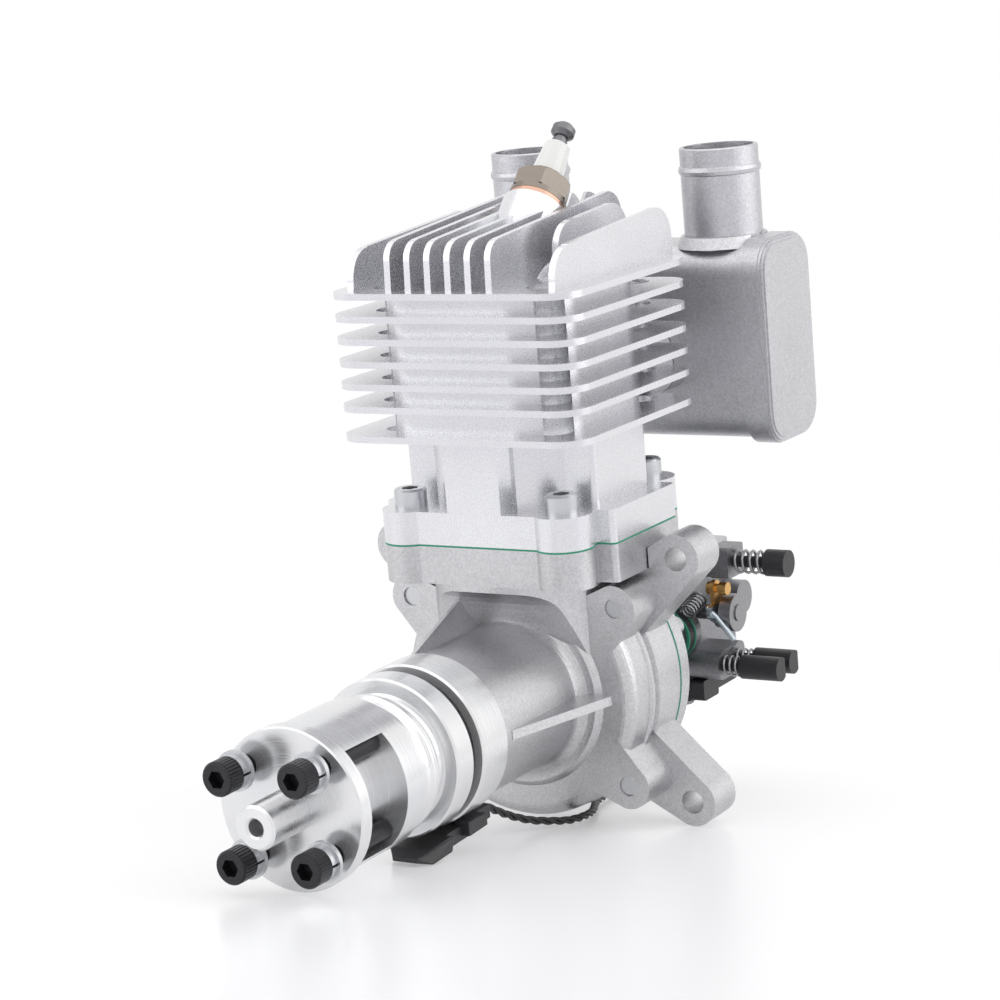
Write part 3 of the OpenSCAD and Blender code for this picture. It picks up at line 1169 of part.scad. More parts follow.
// Steel lever on the throttle shaft, with a swivel for the linkage and a bent wire arm
lever_top = [throttle_y - 3, carb_z + 7.4];
lever_low = [throttle_y - 6, carb_z + 1.2];
swivel_r = 1.8;
wire_r = 0.8;
module throttle_lever() color("gainsboro") place() {
    difference() {
        slab_x(lever_x, lever_x + lever_t) {
            capsule([throttle_y, carb_z], 4.4, lever_top, 2.3);
            capsule([throttle_y, carb_z], 4, lever_low, 1.9);
        }
        rod_x(shaft_d / 2, lever_x - 1, lever_x + 3, throttle_y, carb_z);
    }
    rod_x(1.2, lever_x - 1.4, lever_x + lever_t + 3.4, lever_top[0], lever_top[1]);
    rod_x(swivel_r, lever_x + lever_t + 1.2, lever_x + lever_t + 3.4, lever_top[0], lever_top[1]);
    rod_x(swivel_r, lever_x - 1.4, lever_x, lever_top[0], lever_top[1]);
    swept([[lever_x - 0.8, lever_low[0], carb_z + 2.6], [lever_x + 0.5, lever_low[0], carb_z + 1.2],
           [lever_x + 2, lever_low[0], carb_z - 0.1], [lever_x + 4.4, lever_low[0], carb_z - 2.9],
           [lever_x + 7, lever_low[0], carb_z - 6.2]], wire_r, 10);
}

// Coil of round wire along X
module coil_x(r, wire, x0, x1, turns, y, z) {
    steps = turns * 14;
    translate([x0, y, z]) swept_x([for (i = [0 : steps]) [(x1 - x0) * i / steps, r * cos(360 * i / 14),
        r * sin(360 * i / 14)]], wire, 6);
}
// Sweep whose rings are framed against the X axis
module swept_x(route, r, sides) {
    n = len(route);
    dirs = [for (i = [0 : n - 1]) unit(route[min(i + 1, n - 1)] - route[max(i - 1, 0)])];
    rings = [for (i = [0 : n - 1]) let (s = unit(cross(dirs[i], [1, 0, 0])), u = cross(s, dirs[i]))
        for (k = [0 : sides - 1]) route[i] + r * (s * cos(360 * k / sides) + u * sin(360 * k / sides))];
    walls = [for (i = [0 : n - 2], k = [0 : sides - 1]) let (a = i * sides + k,
        b = i * sides + (k + 1) % sides)
        [a, b, b + sides, a + sides]];
    ends = [[for (k = [sides - 1 : -1 : 0]) k], [for (k = [0 : sides - 1]) (n - 1) * sides + k]];
    polyhedron(points = rings, faces = concat(walls, ends), convexity = 8);
}
// Return spring beside the mounting flange
module throttle_spring() color("gainsboro") place() translate([carb_x + 3, carb_y - 3.5,
    carb_z + 2.2]) rotate([13.5, 0, 0])
    rotate([0, 0, 90]) coil_x(2, 0.34, 0, 8.6, 6, 0, 0);

module choke_shaft() color("gray") place() {
    rod_x(shaft_d / 2, -carb_x - 3.4, carb_x + 2.4, choke_y, carb_z);
    butterfly(choke_y);
    rod_x(4.7, carb_x + 1.1, carb_x + 6.4, choke_y, carb_z);
    slab_x(-carb_x - 5, -carb_x - 3.3) hull() {
        translate([choke_y, carb_z]) circle(4, $fn = 32);
        translate([choke_y + 6, carb_z + 14]) circle(2.4, $fn = 32);
    }
}

// Mixture needle: tapered steel screw with a black cap; the flat cap is slotted for a tab
module mixture_needle(y) {
    cap_x = needle_face + 0.6 + spring_h + 0.3;
    rod_x(1.6, throttle_d / 2 + 3, cap_x + 1, y, needle_z);
    difference() {
        rod_x(needle_cap_d / 2, cap_x, needle_face + needle_len, y, needle_z);
        translate([cap_x + 3, y + needle_cap_d / 2 - 1.1, needle_z - 5]) cube([30, 3, 10]);
    }
}
module high_speed_needle() color("dimgray") place() mixture_needle(high_y);
module low_speed_needle() color("dimgray") place() mixture_needle(low_y);

idle_spring = 9.6;
module idle_screw() color("dimgray") place() {
    rod_x(1.6, idle_face - 15, idle_face + idle_spring + 1.3, idle_y, idle_z);
    rod_x(3.7, idle_face + idle_spring + 0.3, idle_face + idle_spring + 6.6, idle_y, idle_z);
}

module screw_springs() color("gray") place() {
    for (y = [high_y, low_y]) coil_x(2.6, 0.36, needle_face + 0.6 + 0.4,
        needle_face + 0.6 + spring_h - 0.1, 3, y, needle_z);
    coil_x(3, 0.42, idle_face + 0.45, idle_face + idle_spring - 0.2, 4, idle_y, idle_z);
}

front_crankcase();
rear_crankcase();
crankcase_screws();
rear_cover();
rear_cover_gasket();
rear_cover_screws();
cylinder_casting();  // cylinder
cylinder_base_gasket();
cylinder_base_screws();
spark_plug_shell();
spark_plug_gasket();
spark_plug_insulator();
spark_plug_terminal();
exhaust_gasket();
exhaust_screws();
muffler_body();
muffler_cap_left();
muffler_cap_right();
exhaust_outlets();
prop_hub();
prop_screws();
prop_washers();
hub_bolt();
crankshaft();
hub_magnet();
front_bearing_outer();
front_bearing_inner();
front_ball_cage();
rear_bearing_outer();
rear_bearing_inner();
rear_ball_cage();
front_oil_seal();
connecting_rod();
crankpin();
big_end_bearing();
small_end_bearing();
wrist_pin();
wrist_pin_clips();
piston();
piston_rings();
sensor_ring();
hall_sensor();
sensor_lead();
sensor_plug();
reed_block();
reed_petals();
intake_gaskets();
insulator_block();
carb_body();
pump_cover();
metering_cover();
carb_screws();
throttle_shaft();
throttle_lever();
throttle_spring();
choke_shaft();
high_speed_needle();
low_speed_needle();
idle_screw();
screw_springs();
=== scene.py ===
import math

import bmesh
import bpy
from mathutils import Matrix, Vector


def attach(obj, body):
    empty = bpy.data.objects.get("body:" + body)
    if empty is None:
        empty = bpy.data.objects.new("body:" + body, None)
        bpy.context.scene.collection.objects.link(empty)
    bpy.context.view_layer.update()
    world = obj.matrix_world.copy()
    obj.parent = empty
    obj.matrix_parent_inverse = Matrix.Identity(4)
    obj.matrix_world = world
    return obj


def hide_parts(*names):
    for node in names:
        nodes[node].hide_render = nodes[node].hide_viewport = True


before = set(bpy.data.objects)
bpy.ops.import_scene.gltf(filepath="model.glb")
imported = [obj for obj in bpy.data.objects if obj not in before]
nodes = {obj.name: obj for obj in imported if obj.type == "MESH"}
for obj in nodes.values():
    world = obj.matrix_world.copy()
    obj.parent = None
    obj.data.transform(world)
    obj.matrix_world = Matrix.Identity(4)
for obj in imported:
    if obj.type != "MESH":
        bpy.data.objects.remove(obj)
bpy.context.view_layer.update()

# Cast crankcase and rear cover
# Two halves die cast in aluminium and lightly blasted, so the skin is satin with a fine even grain.
# They are clamped at the cylinder plane; the cover behind them is cast in the same way.


def group(name, inputs, outputs):
    """Empty shader node group with named inputs and outputs."""
    tree = bpy.data.node_groups.new(name, "ShaderNodeTree")
    for label, kind, value in inputs:
        socket = tree.interface.new_socket(name=label, in_out="INPUT", socket_type=kind)
        socket.default_value = value
    for label, kind in outputs:
        tree.interface.new_socket(name=label, in_out="OUTPUT", socket_type=kind)
    tree.nodes.new("NodeGroupInput").name = "in"
    tree.nodes.new("NodeGroupOutput").name = "out"
    return tree


def node(tree, kind, **values):
    """Node with its properties or numbered inputs set."""
    made = tree.nodes.new(kind)
    for key, value in values.items():
        if key.startswith("i_"):
            made.inputs[key[2:].replace("_", " ")].default_value = value
        elif key.startswith("n_"):
            made.inputs[int(key[2:])].default_value = value
        else:
            setattr(made, key, value)
    return made


def cast_skin_group():
    """Fine grain, slow cloudiness and scattered cells of a cast or blasted skin; the cells serve as painted
    glints, brighter flecks in the colour for the sparkle of light off the skin's facets.
    """
    tree = group("cast skin",
                 [("Grain Scale", "NodeSocketFloat", 900.0), ("Cloud Scale", "NodeSocketFloat", 35.0)],
                 [("Grain", "NodeSocketFloat"), ("Cloud", "NodeSocketFloat"), ("Painted Glint", "NodeSocketFloat")])
    source, out = tree.nodes["in"], tree.nodes["out"]
    place = node(tree, "ShaderNodeTexCoord")
    grain = node(tree, "ShaderNodeTexNoise", i_Detail=4.0, i_Roughness=0.65)
    cloud = node(tree, "ShaderNodeTexNoise", i_Detail=3.0, i_Roughness=0.5)
    # Cells for the painted glints: each gets a random value that brightens the colour there.
    glint_cells = node(tree, "ShaderNodeTexVoronoi")
    painted_glint = node(tree, "ShaderNodeSeparateColor")
    link = tree.links.new
    for texture in (grain, cloud, glint_cells):
        link(place.outputs["Object"], texture.inputs["Vector"])
    link(source.outputs["Grain Scale"], grain.inputs["Scale"])
    link(source.outputs["Grain Scale"], glint_cells.inputs["Scale"])
    link(source.outputs["Cloud Scale"], cloud.inputs["Scale"])
    link(glint_cells.outputs["Color"], painted_glint.inputs[0])
    link(grain.outputs["Fac"], out.inputs["Grain"])
    link(cloud.outputs["Fac"], out.inputs["Cloud"])
    link(painted_glint.outputs[0], out.inputs["Painted Glint"])
    return tree


cast_skin = cast_skin_group()


def two_tones(tree, dark, light):
    """Colour mix between a dark and a light tone."""
    made = node(tree, "ShaderNodeMix", data_type="RGBA")
    made.inputs[6].default_value = (*dark, 1)
    made.inputs[7].default_value = (*light, 1)
    return made


def rough_range(tree, low, high):
    """Roughness between two limits, taken from the middle range of a noise."""
    return node(tree, "ShaderNodeMapRange", i_From_Min=0.3, i_From_Max=0.7, i_To_Min=low, i_To_Max=high)


def cast_metal(name, dark, light, rough, grain_scale, bump, metallic=1.0, painted_sparkle=0.12):
    """Satin metal with a grain, slow cloudy change of tone and painted glints: scattered cells of the colour
    made brighter, for the sparkle of light off the grain's facets.
    """
    glint_paint_gain = 1.4
    material = bpy.data.materials.new(name)
    material.use_nodes = True
    tree = material.node_tree
    shader = tree.nodes["Principled BSDF"]
    shader.inputs["Metallic"].default_value = metallic
    skin = node(tree, "ShaderNodeGroup", node_tree=cast_skin)
    skin.inputs["Grain Scale"].default_value = grain_scale
    tone = two_tones(tree, dark, light)
    # Painted glints: random cells of the colour are raised towards the light tone times the gain, standing in
    # for the sparkle of light off facets.
    painted_glints = node(tree, "ShaderNodeMix", data_type="RGBA")
    painted_glints.inputs[7].default_value = (*[min(1, glint_paint_gain * c) for c in light], 1)
    amount = node(tree, "ShaderNodeMath", operation="MULTIPLY", n_1=painted_sparkle)
    roughness = rough_range(tree, *rough)
    relief = node(tree, "ShaderNodeBump", i_Strength=bump, i_Distance=0.0002)
    link = tree.links.new
    link(skin.outputs["Cloud"], tone.inputs[0])
    link(tone.outputs[2], painted_glints.inputs[6])
    link(skin.outputs["Painted Glint"], amount.inputs[0])
    link(amount.outputs[0], painted_glints.inputs[0])
    link(painted_glints.outputs[2], shader.inputs["Base Color"])
    link(skin.outputs["Grain"], roughness.inputs["Value"])
    link(roughness.outputs[0], shader.inputs["Roughness"])
    link(skin.outputs["Grain"], relief.inputs["Height"])
    link(relief.outputs["Normal"], shader.inputs["Normal"])
    return material


def finish_nodes(material, names):
    """Gives the carried-over nodes their finish."""
    for name in names:
        nodes[name].data.materials[0] = material


case_metal = cast_metal("cast case", dark=(0.46, 0.457, 0.47), light=(0.575, 0.572, 0.586),
                        rough=(0.24, 0.4), grain_scale=2200, bump=0.45, painted_sparkle=0.35)
finish_nodes(case_metal, ["front_crankcase", "rear_crankcase", "rear_cover"])

# Finned cylinder with its head
# One aluminium casting with thin fins; it is left as cast and tumbled, a touch lighter than the case.
# Four base screws hold it down through a thin gasket.
cylinder_metal = cast_metal("cast cylinder", dark=(0.68, 0.68, 0.705), light=(0.79, 0.79, 0.82),
                            rough=(0.2, 0.32), grain_scale=2600, bump=0.1, metallic=0.76)
finish_nodes(cylinder_metal, ["cylinder"])

# Piston, rings and the other inner steel
# The piston is turned from aluminium; rod, pins, shaft, bearings and reed petals are ground steel.
# They run inside the case and show only when it is opened.
piston_metal = cast_metal("piston alloy", dark=(0.62, 0.62, 0.62), light=(0.72, 0.72, 0.72),
                          rough=(0.28, 0.4), grain_scale=900, bump=0.08)
finish_nodes(piston_metal, ["piston"])
ground_steel = cast_metal("ground steel", dark=(0.50, 0.50, 0.51), light=(0.60, 0.60, 0.61),
                          rough=(0.2, 0.32), grain_scale=1100, bump=0.05)
finish_nodes(ground_steel, ["crankshaft", "connecting_rod", "crankpin", "big_end_bearing",
                            "small_end_bearing", "wrist_pin", "piston_rings", "front_bearing_outer",
                            "front_bearing_inner", "front_ball_cage", "rear_bearing_outer",
                            "rear_bearing_inner", "rear_ball_cage", "reed_petals"])

# Muffler body and end caps
# A folded aluminium box with pressed caps, bead blasted after welding: a matt grey with a fine sparkle, which
# is partly painted glints in its colour.
# It bolts to the exhaust flange behind the cylinder.
muffler_metal = cast_metal("blasted muffler", dark=(0.45, 0.45, 0.465), light=(0.545, 0.545, 0.565),
                           rough=(0.26, 0.44), grain_scale=2600, bump=0.6, painted_sparkle=0.5)
finish_nodes(muffler_metal, ["muffler_body", "muffler_cap_left", "muffler_cap_right"])

# Outlet tubes
# Drawn aluminium tube with a rolled bead for a hose, welded into the top of the muffler.
tube_metal = cast_metal("outlet tube", dark=(0.44, 0.44, 0.46), light=(0.54, 0.54, 0.565),
                        rough=(0.24, 0.4), grain_scale=2400, bump=0.5, painted_sparkle=0.4)
finish_nodes(tube_metal, ["exhaust_outlets"])


# Propeller hub, centre boss and sensor ring
# Turned from bright aluminium bar: the lathe leaves fine rings round the crank axis on every face.
# The hub sits on the crankshaft's end, and a small plated magnet is let into its rear ring.
def turned_metal(name, dark, light, rough, ring_scale, bump, metallic):
    """Bright turned metal with fine rings round the crank axis, which is the Y axis."""
    material = bpy.data.materials.new(name)
    material.use_nodes = True
    tree = material.node_tree
    shader = tree.nodes["Principled BSDF"]
    shader.inputs["Metallic"].default_value = metallic
    place = node(tree, "ShaderNodeTexCoord")
    axes = node(tree, "ShaderNodeSeparateXYZ")
    radial = node(tree, "ShaderNodeCombineXYZ")
    reach = node(tree, "ShaderNodeVectorMath", operation="LENGTH")
    along = node(tree, "ShaderNodeCombineXYZ")
    rings = node(tree, "ShaderNodeTexNoise", i_Scale=ring_scale, i_Detail=3.0, i_Roughness=0.7)
    rings.noise_dimensions = "2D"
    cloud = node(tree, "ShaderNodeTexNoise", i_Scale=60.0, i_Detail=2.0)
    tone = two_tones(tree, dark, light)
    roughness = rough_range(tree, *rough)
    relief = node(tree, "ShaderNodeBump", i_Strength=bump, i_Distance=0.0001)
    link = tree.links.new
    link(place.outputs["Object"], axes.inputs[0])
    link(axes.outputs["X"], radial.inputs["X"])
    link(axes.outputs["Z"], radial.inputs["Z"])
    link(radial.outputs[0], reach.inputs[0])
    link(reach.outputs["Value"], along.inputs["X"])
    link(axes.outputs["Y"], along.inputs["Y"])
    link(along.outputs[0], rings.inputs["Vector"])
    link(place.outputs["Object"], cloud.inputs["Vector"])
    link(cloud.outputs["Fac"], tone.inputs[0])
    link(tone.outputs[2], shader.inputs["Base Color"])
    link(rings.outputs["Fac"], roughness.inputs["Value"])
    link(roughness.outputs[0], shader.inputs["Roughness"])
    link(rings.outputs["Fac"], relief.inputs["Height"])
    link(relief.outputs["Normal"], shader.inputs["Normal"])
    return material


hub_metal = turned_metal("turned hub", dark=(0.72, 0.735, 0.76), light=(0.83, 0.82, 0.815),
                         rough=(0.176, 0.286), ring_scale=2600, bump=0.025, metallic=0.8)
finish_nodes(hub_metal, ["prop_hub", "hub_bolt", "sensor_ring"])
magnet_metal = cast_metal("magnet plating", dark=(0.40, 0.40, 0.42), light=(0.5, 0.5, 0.52),
                          rough=(0.25, 0.35), grain_scale=900, bump=0.05)
finish_nodes(magnet_metal, ["hub_magnet"])

# Black screws of the hub and clips of the wrist pin
# Hardened cap screws with a black oxide skin and a hexagon socket; the round heads are knurled so that
# fingers can turn them. The clips are spring wire with the same skin.
screw_circle_r = 0.01505
screw_turn = math.radians(48.6)
head_r = 0.00425


def knurl_group():
    """Height of the straight knurl round the four heads, folded so that one head stands for all four."""
    ridges = 32
    rim_from, rim_to = 0.93, 0.97
    tree = group("screw knurl", [], [("Height", "NodeSocketFloat")])
    place = node(tree, "ShaderNodeTexCoord")
    turned = node(tree, "ShaderNodeVectorRotate", rotation_type="Y_AXIS", i_Angle=screw_turn - math.pi / 4)
    folded = node(tree, "ShaderNodeVectorMath", operation="ABSOLUTE")
    from_screw = node(tree, "ShaderNodeVectorMath", operation="SUBTRACT")
    centre_x = screw_circle_r * math.cos(math.pi / 4)
    from_screw.inputs[1].default_value = (centre_x, 0, centre_x)
    axes = node(tree, "ShaderNodeSeparateXYZ")
    flat = node(tree, "ShaderNodeCombineXYZ")
    reach = node(tree, "ShaderNodeVectorMath", operation="LENGTH")
    angle = node(tree, "ShaderNodeMath", operation="ARCTAN2")
    many = node(tree, "ShaderNodeMath", operation="MULTIPLY", n_1=ridges)
    wave = node(tree, "ShaderNodeMath", operation="SINE")
    rim = node(tree, "ShaderNodeMapRange", i_From_Min=rim_from * head_r, i_From_Max=rim_to * head_r)
    height = node(tree, "ShaderNodeMath", operation="MULTIPLY")
    link = tree.links.new
    link(place.outputs["Object"], turned.inputs["Vector"])
    link(turned.outputs[0], folded.inputs[0])
    link(folded.outputs[0], from_screw.inputs[0])
    link(from_screw.outputs[0], axes.inputs[0])
    link(axes.outputs["X"], flat.inputs["X"])
    link(axes.outputs["Z"], flat.inputs["Z"])
    link(flat.outputs[0], reach.inputs[0])
    link(axes.outputs["Z"], angle.inputs[0])
    link(axes.outputs["X"], angle.inputs[1])
    link(angle.outputs[0], many.inputs[0])
    link(many.outputs[0], wave.inputs[0])
    link(reach.outputs["Value"], rim.inputs["Value"])
    link(wave.outputs[0], height.inputs[0])
    link(rim.outputs[0], height.inputs[1])
    link(height.outputs[0], tree.nodes["out"].inputs["Height"])
    return tree


def knurled(material, depth):
    """Adds the knurl to a material's relief."""
    tree = material.node_tree
    ridges = node(tree, "ShaderNodeGroup", node_tree=knurl_group())
    relief = node(tree, "ShaderNodeBump", i_Strength=1.0, i_Distance=depth)
    shader = tree.nodes["Principled BSDF"]
    grain = shader.inputs["Normal"].links[0].from_socket
    tree.links.new(ridges.outputs["Height"], relief.inputs["Height"])
    tree.links.new(grain, relief.inputs["Normal"])
    tree.links.new(relief.outputs["Normal"], shader.inputs["Normal"])


black_steel = cast_metal("black oxide steel", dark=(0.022, 0.022, 0.025), light=(0.045, 0.045, 0.05),
                         rough=(0.3, 0.42), grain_scale=1400, bump=0.12, metallic=0.7)
knurled(black_steel, depth=0.0002)
finish_nodes(black_steel, ["prop_screws"])
plain_black = cast_metal("black spring steel", dark=(0.02, 0.02, 0.022), light=(0.04, 0.04, 0.045),
                         rough=(0.3, 0.45), grain_scale=1400, bump=0.1, metallic=0.7)
finish_nodes(plain_black, ["wrist_pin_clips"])

# Bright screws and washers
# Cap screws of the case, cover, cylinder and muffler and the washers of the hub: zinc plated steel, bright
# and slightly cloudy.
zinc_steel = cast_metal("zinc plated steel", dark=(0.50, 0.51, 0.53), light=(0.64, 0.65, 0.67),
                        rough=(0.26, 0.36), grain_scale=1000, bump=0.02, painted_sparkle=0.03)
finish_nodes(zinc_steel, ["crankcase_screws", "rear_cover_screws", "cylinder_base_screws", "exhaust_screws",
                          "prop_washers"])

# Spark plug
# Nickel plated shell with its hexagon, a copper coloured sealing ring below it, glazed white ceramic and a
# turned steel terminal.
shell_metal = cast_metal("plug nickel", dark=(0.17, 0.145, 0.125), light=(0.28, 0.245, 0.215),
                         rough=(0.24, 0.36), grain_scale=900, bump=0.03, painted_sparkle=0.05)
finish_nodes(shell_metal, ["spark_plug_shell"])
ring_metal = cast_metal("plug ring copper", dark=(0.52, 0.30, 0.22), light=(0.64, 0.41, 0.32),
                        rough=(0.25, 0.36), grain_scale=900, bump=0.03, painted_sparkle=0.05)
finish_nodes(ring_metal, ["spark_plug_gasket"])
terminal_metal = cast_metal("plug terminal", dark=(0.13, 0.13, 0.135), light=(0.24, 0.24, 0.25),
                            rough=(0.28, 0.4), grain_scale=900, bump=0.03, painted_sparkle=0.05)
finish_nodes(terminal_metal, ["spark_plug_terminal"])


def moulded(name, dark, light, rough, grain_scale, bump, coat=0.0):
    """Plastic, ceramic, rubber or sheet with a fine surface grain and a slow change of tone."""
    material = bpy.data.materials.new(name)
    material.use_nodes = True
    tree = material.node_tree
    shader = tree.nodes["Principled BSDF"]
    shader.inputs["Metallic"].default_value = 0.0
    shader.inputs["Coat Weight"].default_value = coat
    shader.inputs["Coat Roughness"].default_value = 0.08
    skin = node(tree, "ShaderNodeGroup", node_tree=cast_skin)
    skin.inputs["Grain Scale"].default_value = grain_scale
    skin.inputs["Cloud Scale"].default_value = 80.0
    tone = two_tones(tree, dark, light)
    roughness = rough_range(tree, *rough)
    relief = node(tree, "ShaderNodeBump", i_Strength=bump, i_Distance=0.0002)
    link = tree.links.new
    link(skin.outputs["Cloud"], tone.inputs[0])
    link(tone.outputs[2], shader.inputs["Base Color"])
    link(skin.outputs["Grain"], roughness.inputs["Value"])
    link(roughness.outputs[0], shader.inputs["Roughness"])
    link(skin.outputs["Grain"], relief.inputs["Height"])
    link(relief.outputs["Normal"], shader.inputs["Normal"])
    return material


ceramic = moulded("glazed ceramic", dark=(0.78, 0.78, 0.76), light=(0.86, 0.86, 0.84),
                  rough=(0.12, 0.18), grain_scale=400, bump=0.02, coat=0.6)
finish_nodes(ceramic, ["spark_plug_insulator"])

# Gaskets
# Green fibre sheet under the cylinder, behind the case and at the carburettor; graphite at the exhaust.
green_sheet = moulded("green gasket sheet", dark=(0.02, 0.22, 0.13), light=(0.05, 0.33, 0.21),
                      rough=(0.55, 0.75), grain_scale=1500, bump=0.3)
finish_nodes(green_sheet, ["cylinder_base_gasket", "rear_cover_gasket", "intake_gaskets"])
graphite = moulded("graphite sheet", dark=(0.05, 0.05, 0.05), light=(0.09, 0.09, 0.09),
                   rough=(0.5, 0.7), grain_scale=1500, bump=0.3)
finish_nodes(graphite, ["exhaust_gasket"])

# Ignition sensor, its plug, and the other black mouldings
# Glass filled nylon with a slightly grainy skin. The sensor is one moulding that hangs under the nose, with
# its head below the hub's rear ring, so that the magnet passes it once a turn.
black_nylon = moulded("black nylon", dark=(0.018, 0.018, 0.02), light=(0.035, 0.035, 0.038),
                      rough=(0.35, 0.55), grain_scale=1600, bump=0.2)
finish_nodes(black_nylon, ["sensor_plug", "reed_block", "insulator_block", "high_speed_needle",
                           "low_speed_needle", "idle_screw", "metering_cover"])
mm_in_metre = 1000


def moulded_block(shape, outline, low_x, high_x, nose_inset, edge):
    """Adds a block in millimetres to the shape: an outline in Y and Z drawn out along X, with its first two
    points set in at both ends and its edges rounded."""
    sides = []
    for x, inward in ((low_x, nose_inset), (high_x, -nose_inset)):
        sides.append([shape.verts.new(Vector((x + (inward if i < 2 else 0), y, z)) / mm_in_metre)
                      for i, (y, z) in enumerate(outline)])
    count = len(outline)
    faces = [shape.faces.new(sides[0]), shape.faces.new(list(reversed(sides[1])))]
    for i in range(count):
        k = (i + 1) % count
        faces.append(shape.faces.new((sides[0][k], sides[0][i], sides[1][i], sides[1][k])))
    edges = list({line for face in faces for line in face.edges})
    bmesh.ops.bevel(shape, geom=edges, offset=edge / mm_in_metre, segments=2, affect="EDGES", profile=0.6)


def sensor_moulding():
    """Head below the hub's rear ring, bar under the sensor ring, clip at its side and socket for the lead."""
    head = [(38.2, -23.6), (38.2, -24.8), (41.5, -25.9), (50.5, -25.5), (51.8, -21.9), (50, -21.5),
            (41, -22.1)]
    bar = [(50, -21.6), (50, -25.2), (62, -24.7), (65, -24.3), (65, -21.2), (52, -21.2)]
    clip = [(57.5, -20.2), (57.5, -23.8), (66.2, -23.4), (66.2, -20.2)]
    socket = [(64, -20.4), (64, -24.3), (73.2, -24), (73.2, -20.4)]
    shape = bmesh.new()
    moulded_block(shape, head, low_x=-1.6, high_x=10.6, nose_inset=2.6, edge=0.3)
    moulded_block(shape, bar, low_x=-0.2, high_x=9.2, nose_inset=0, edge=0.3)
    moulded_block(shape, clip, low_x=6.9, high_x=11.4, nose_inset=0, edge=0.35)
    moulded_block(shape, socket, low_x=1.1, high_x=7.9, nose_inset=0, edge=0.3)
    bmesh.ops.recalc_face_normals(shape, faces=shape.faces)
    mesh = bpy.data.meshes.new("sensor_moulding")
    shape.to_mesh(mesh)
    shape.free()
    made = bpy.data.objects.new("sensor_moulding", mesh)
    bpy.context.scene.collection.objects.link(made)
    return made


sensor = sensor_moulding()
sensor.data.materials.append(black_nylon)
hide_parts("hall_sensor")
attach(sensor, "engine")

# Front oil seal
# Lip seal of black rubber that is pressed into the nose in front of the bearing and rubs on the shaft.
seal_rubber = moulded("seal rubber", dark=(0.02, 0.02, 0.02), light=(0.04, 0.04, 0.04),
                      rough=(0.5, 0.7), grain_scale=1200, bump=0.15)
finish_nodes(seal_rubber, ["front_oil_seal"])

# Sensor lead
# Three thin wires in soft black sheaths, twisted together; they leave the sensor's socket, sink to the
# surface and run rearward to a small plug. Their route is in millimetres from the cylinder's axis.
hub_to_cylinder = 117.7
lead_rest, lead_fall = -36.0, 0.145
lead_drop = [(4.5, -44.45, -21.9), (4.5, -43.1, -21.95), (4.6, -40.5, -22.9), (5, -36.5, -25.2),
             (6, -31.5, -28), (8, -26, -30.6), (10.4, -20, -32.5)]
lead_floor = [(12.4, -14), (13, -8), (12, -2), (9.5, 4), (6.5, 10), (4, 17), (2.5, 24), (1.5, 31), (1, 38),
              (0.5, 45), (-0.5, 51), (-3.5, 56), (-8, 58.5), (-12.5, 57), (-15.2, 52.5), (-16, 46),
              (-16, 39), (-16, 33)]
lead_route = lead_drop + [(x, y, lead_rest - lead_fall * y) for x, y in lead_floor]
lead_points = [Vector((x, y + hub_to_cylinder, z)) / mm_in_metre for x, y, z in lead_route]
lead_width = 0.0022


def smooth_line(points, steps):
    """Smooth line through the points."""
    line = []
    for i in range(len(points) - 1):
        before, start = points[max(i - 1, 0)], points[i]
        end, after = points[i + 1], points[min(i + 2, len(points) - 1)]
        curve = 2 * before - 5 * start + 4 * end - after
        twist = 3 * start - before - 3 * end + after
        for k in range(steps):
            t = k / steps
            line.append(0.5 * (2 * start + (end - before) * t + curve * t * t + twist * t ** 3))
    return line + [points[-1]]


def twisted_wires(name, line, width, wires, turn_length, sides):
    """Mesh of round wires that wind round one line."""
    wire_r = width / 2 / (1 + 1 / math.sin(math.pi / wires))
    offset = width / 2 - wire_r
    ahead = (line[1] - line[0]).normalized()
    side = ahead.cross(Vector((0, 0, 1))).normalized()
    places, faces, travelled = [], [], 0.0
    for i, point in enumerate(line):
        if i:
            travelled += (point - line[i - 1]).length
        ahead = (line[min(i + 1, len(line) - 1)] - line[max(i - 1, 0)]).normalized()
        side = (side - ahead * side.dot(ahead)).normalized()
        rise = ahead.cross(side)
        for w in range(wires):
            around = 2 * math.pi * (w / wires + travelled / turn_length)
            middle = point + offset * (math.cos(around) * side + math.sin(around) * rise)
            for k in range(sides):
                a = 2 * math.pi * k / sides
                places.append(middle + wire_r * (math.cos(a) * side + math.sin(a) * rise))
    ring = wires * sides
    for i in range(len(line) - 1):
        for w in range(wires):
            for k in range(sides):
                a, b = i * ring + w * sides + k, i * ring + w * sides + (k + 1) % sides
                faces.append((a, b, b + ring, a + ring))
    last = (len(line) - 1) * ring
    for w in range(wires):
        faces.append([w * sides + k for k in reversed(range(sides))])
        faces.append([last + w * sides + k for k in range(sides)])
    mesh = bpy.data.meshes.new(name)
    mesh.from_pydata(places, [], faces)
    mesh.shade_smooth()
    made = bpy.data.objects.new(name, mesh)
    bpy.context.scene.collection.objects.link(made)
    return made


lead_line = smooth_line(lead_points, steps=6)
lead = twisted_wires("sensor_wires", lead_line, lead_width, wires=3, turn_length=0.012, sides=10)
lead_sheath = moulded("wire sheath", dark=(0.012, 0.012, 0.013), light=(0.03, 0.03, 0.032),
                      rough=(0.35, 0.5), grain_scale=1500, bump=0.08)
lead.data.materials.append(lead_sheath)
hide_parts("sensor_lead")
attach(lead, "engine")

# Carburettor
# Die cast body with a grey conversion coat, a stamped pump cover on top and a black moulded cover below.
carb_metal = cast_metal("carburettor casting", dark=(0.20, 0.20, 0.215), light=(0.32, 0.32, 0.335),
                        rough=(0.36, 0.52), grain_scale=2400, bump=0.4, painted_sparkle=0.4)
finish_nodes(carb_metal, ["carb_body"])
cover_metal = cast_metal("pump cover", dark=(0.42, 0.42, 0.435), light=(0.54, 0.54, 0.555),
                         rough=(0.28, 0.4), grain_scale=2000, bump=0.15)
finish_nodes(cover_metal, ["pump_cover"])

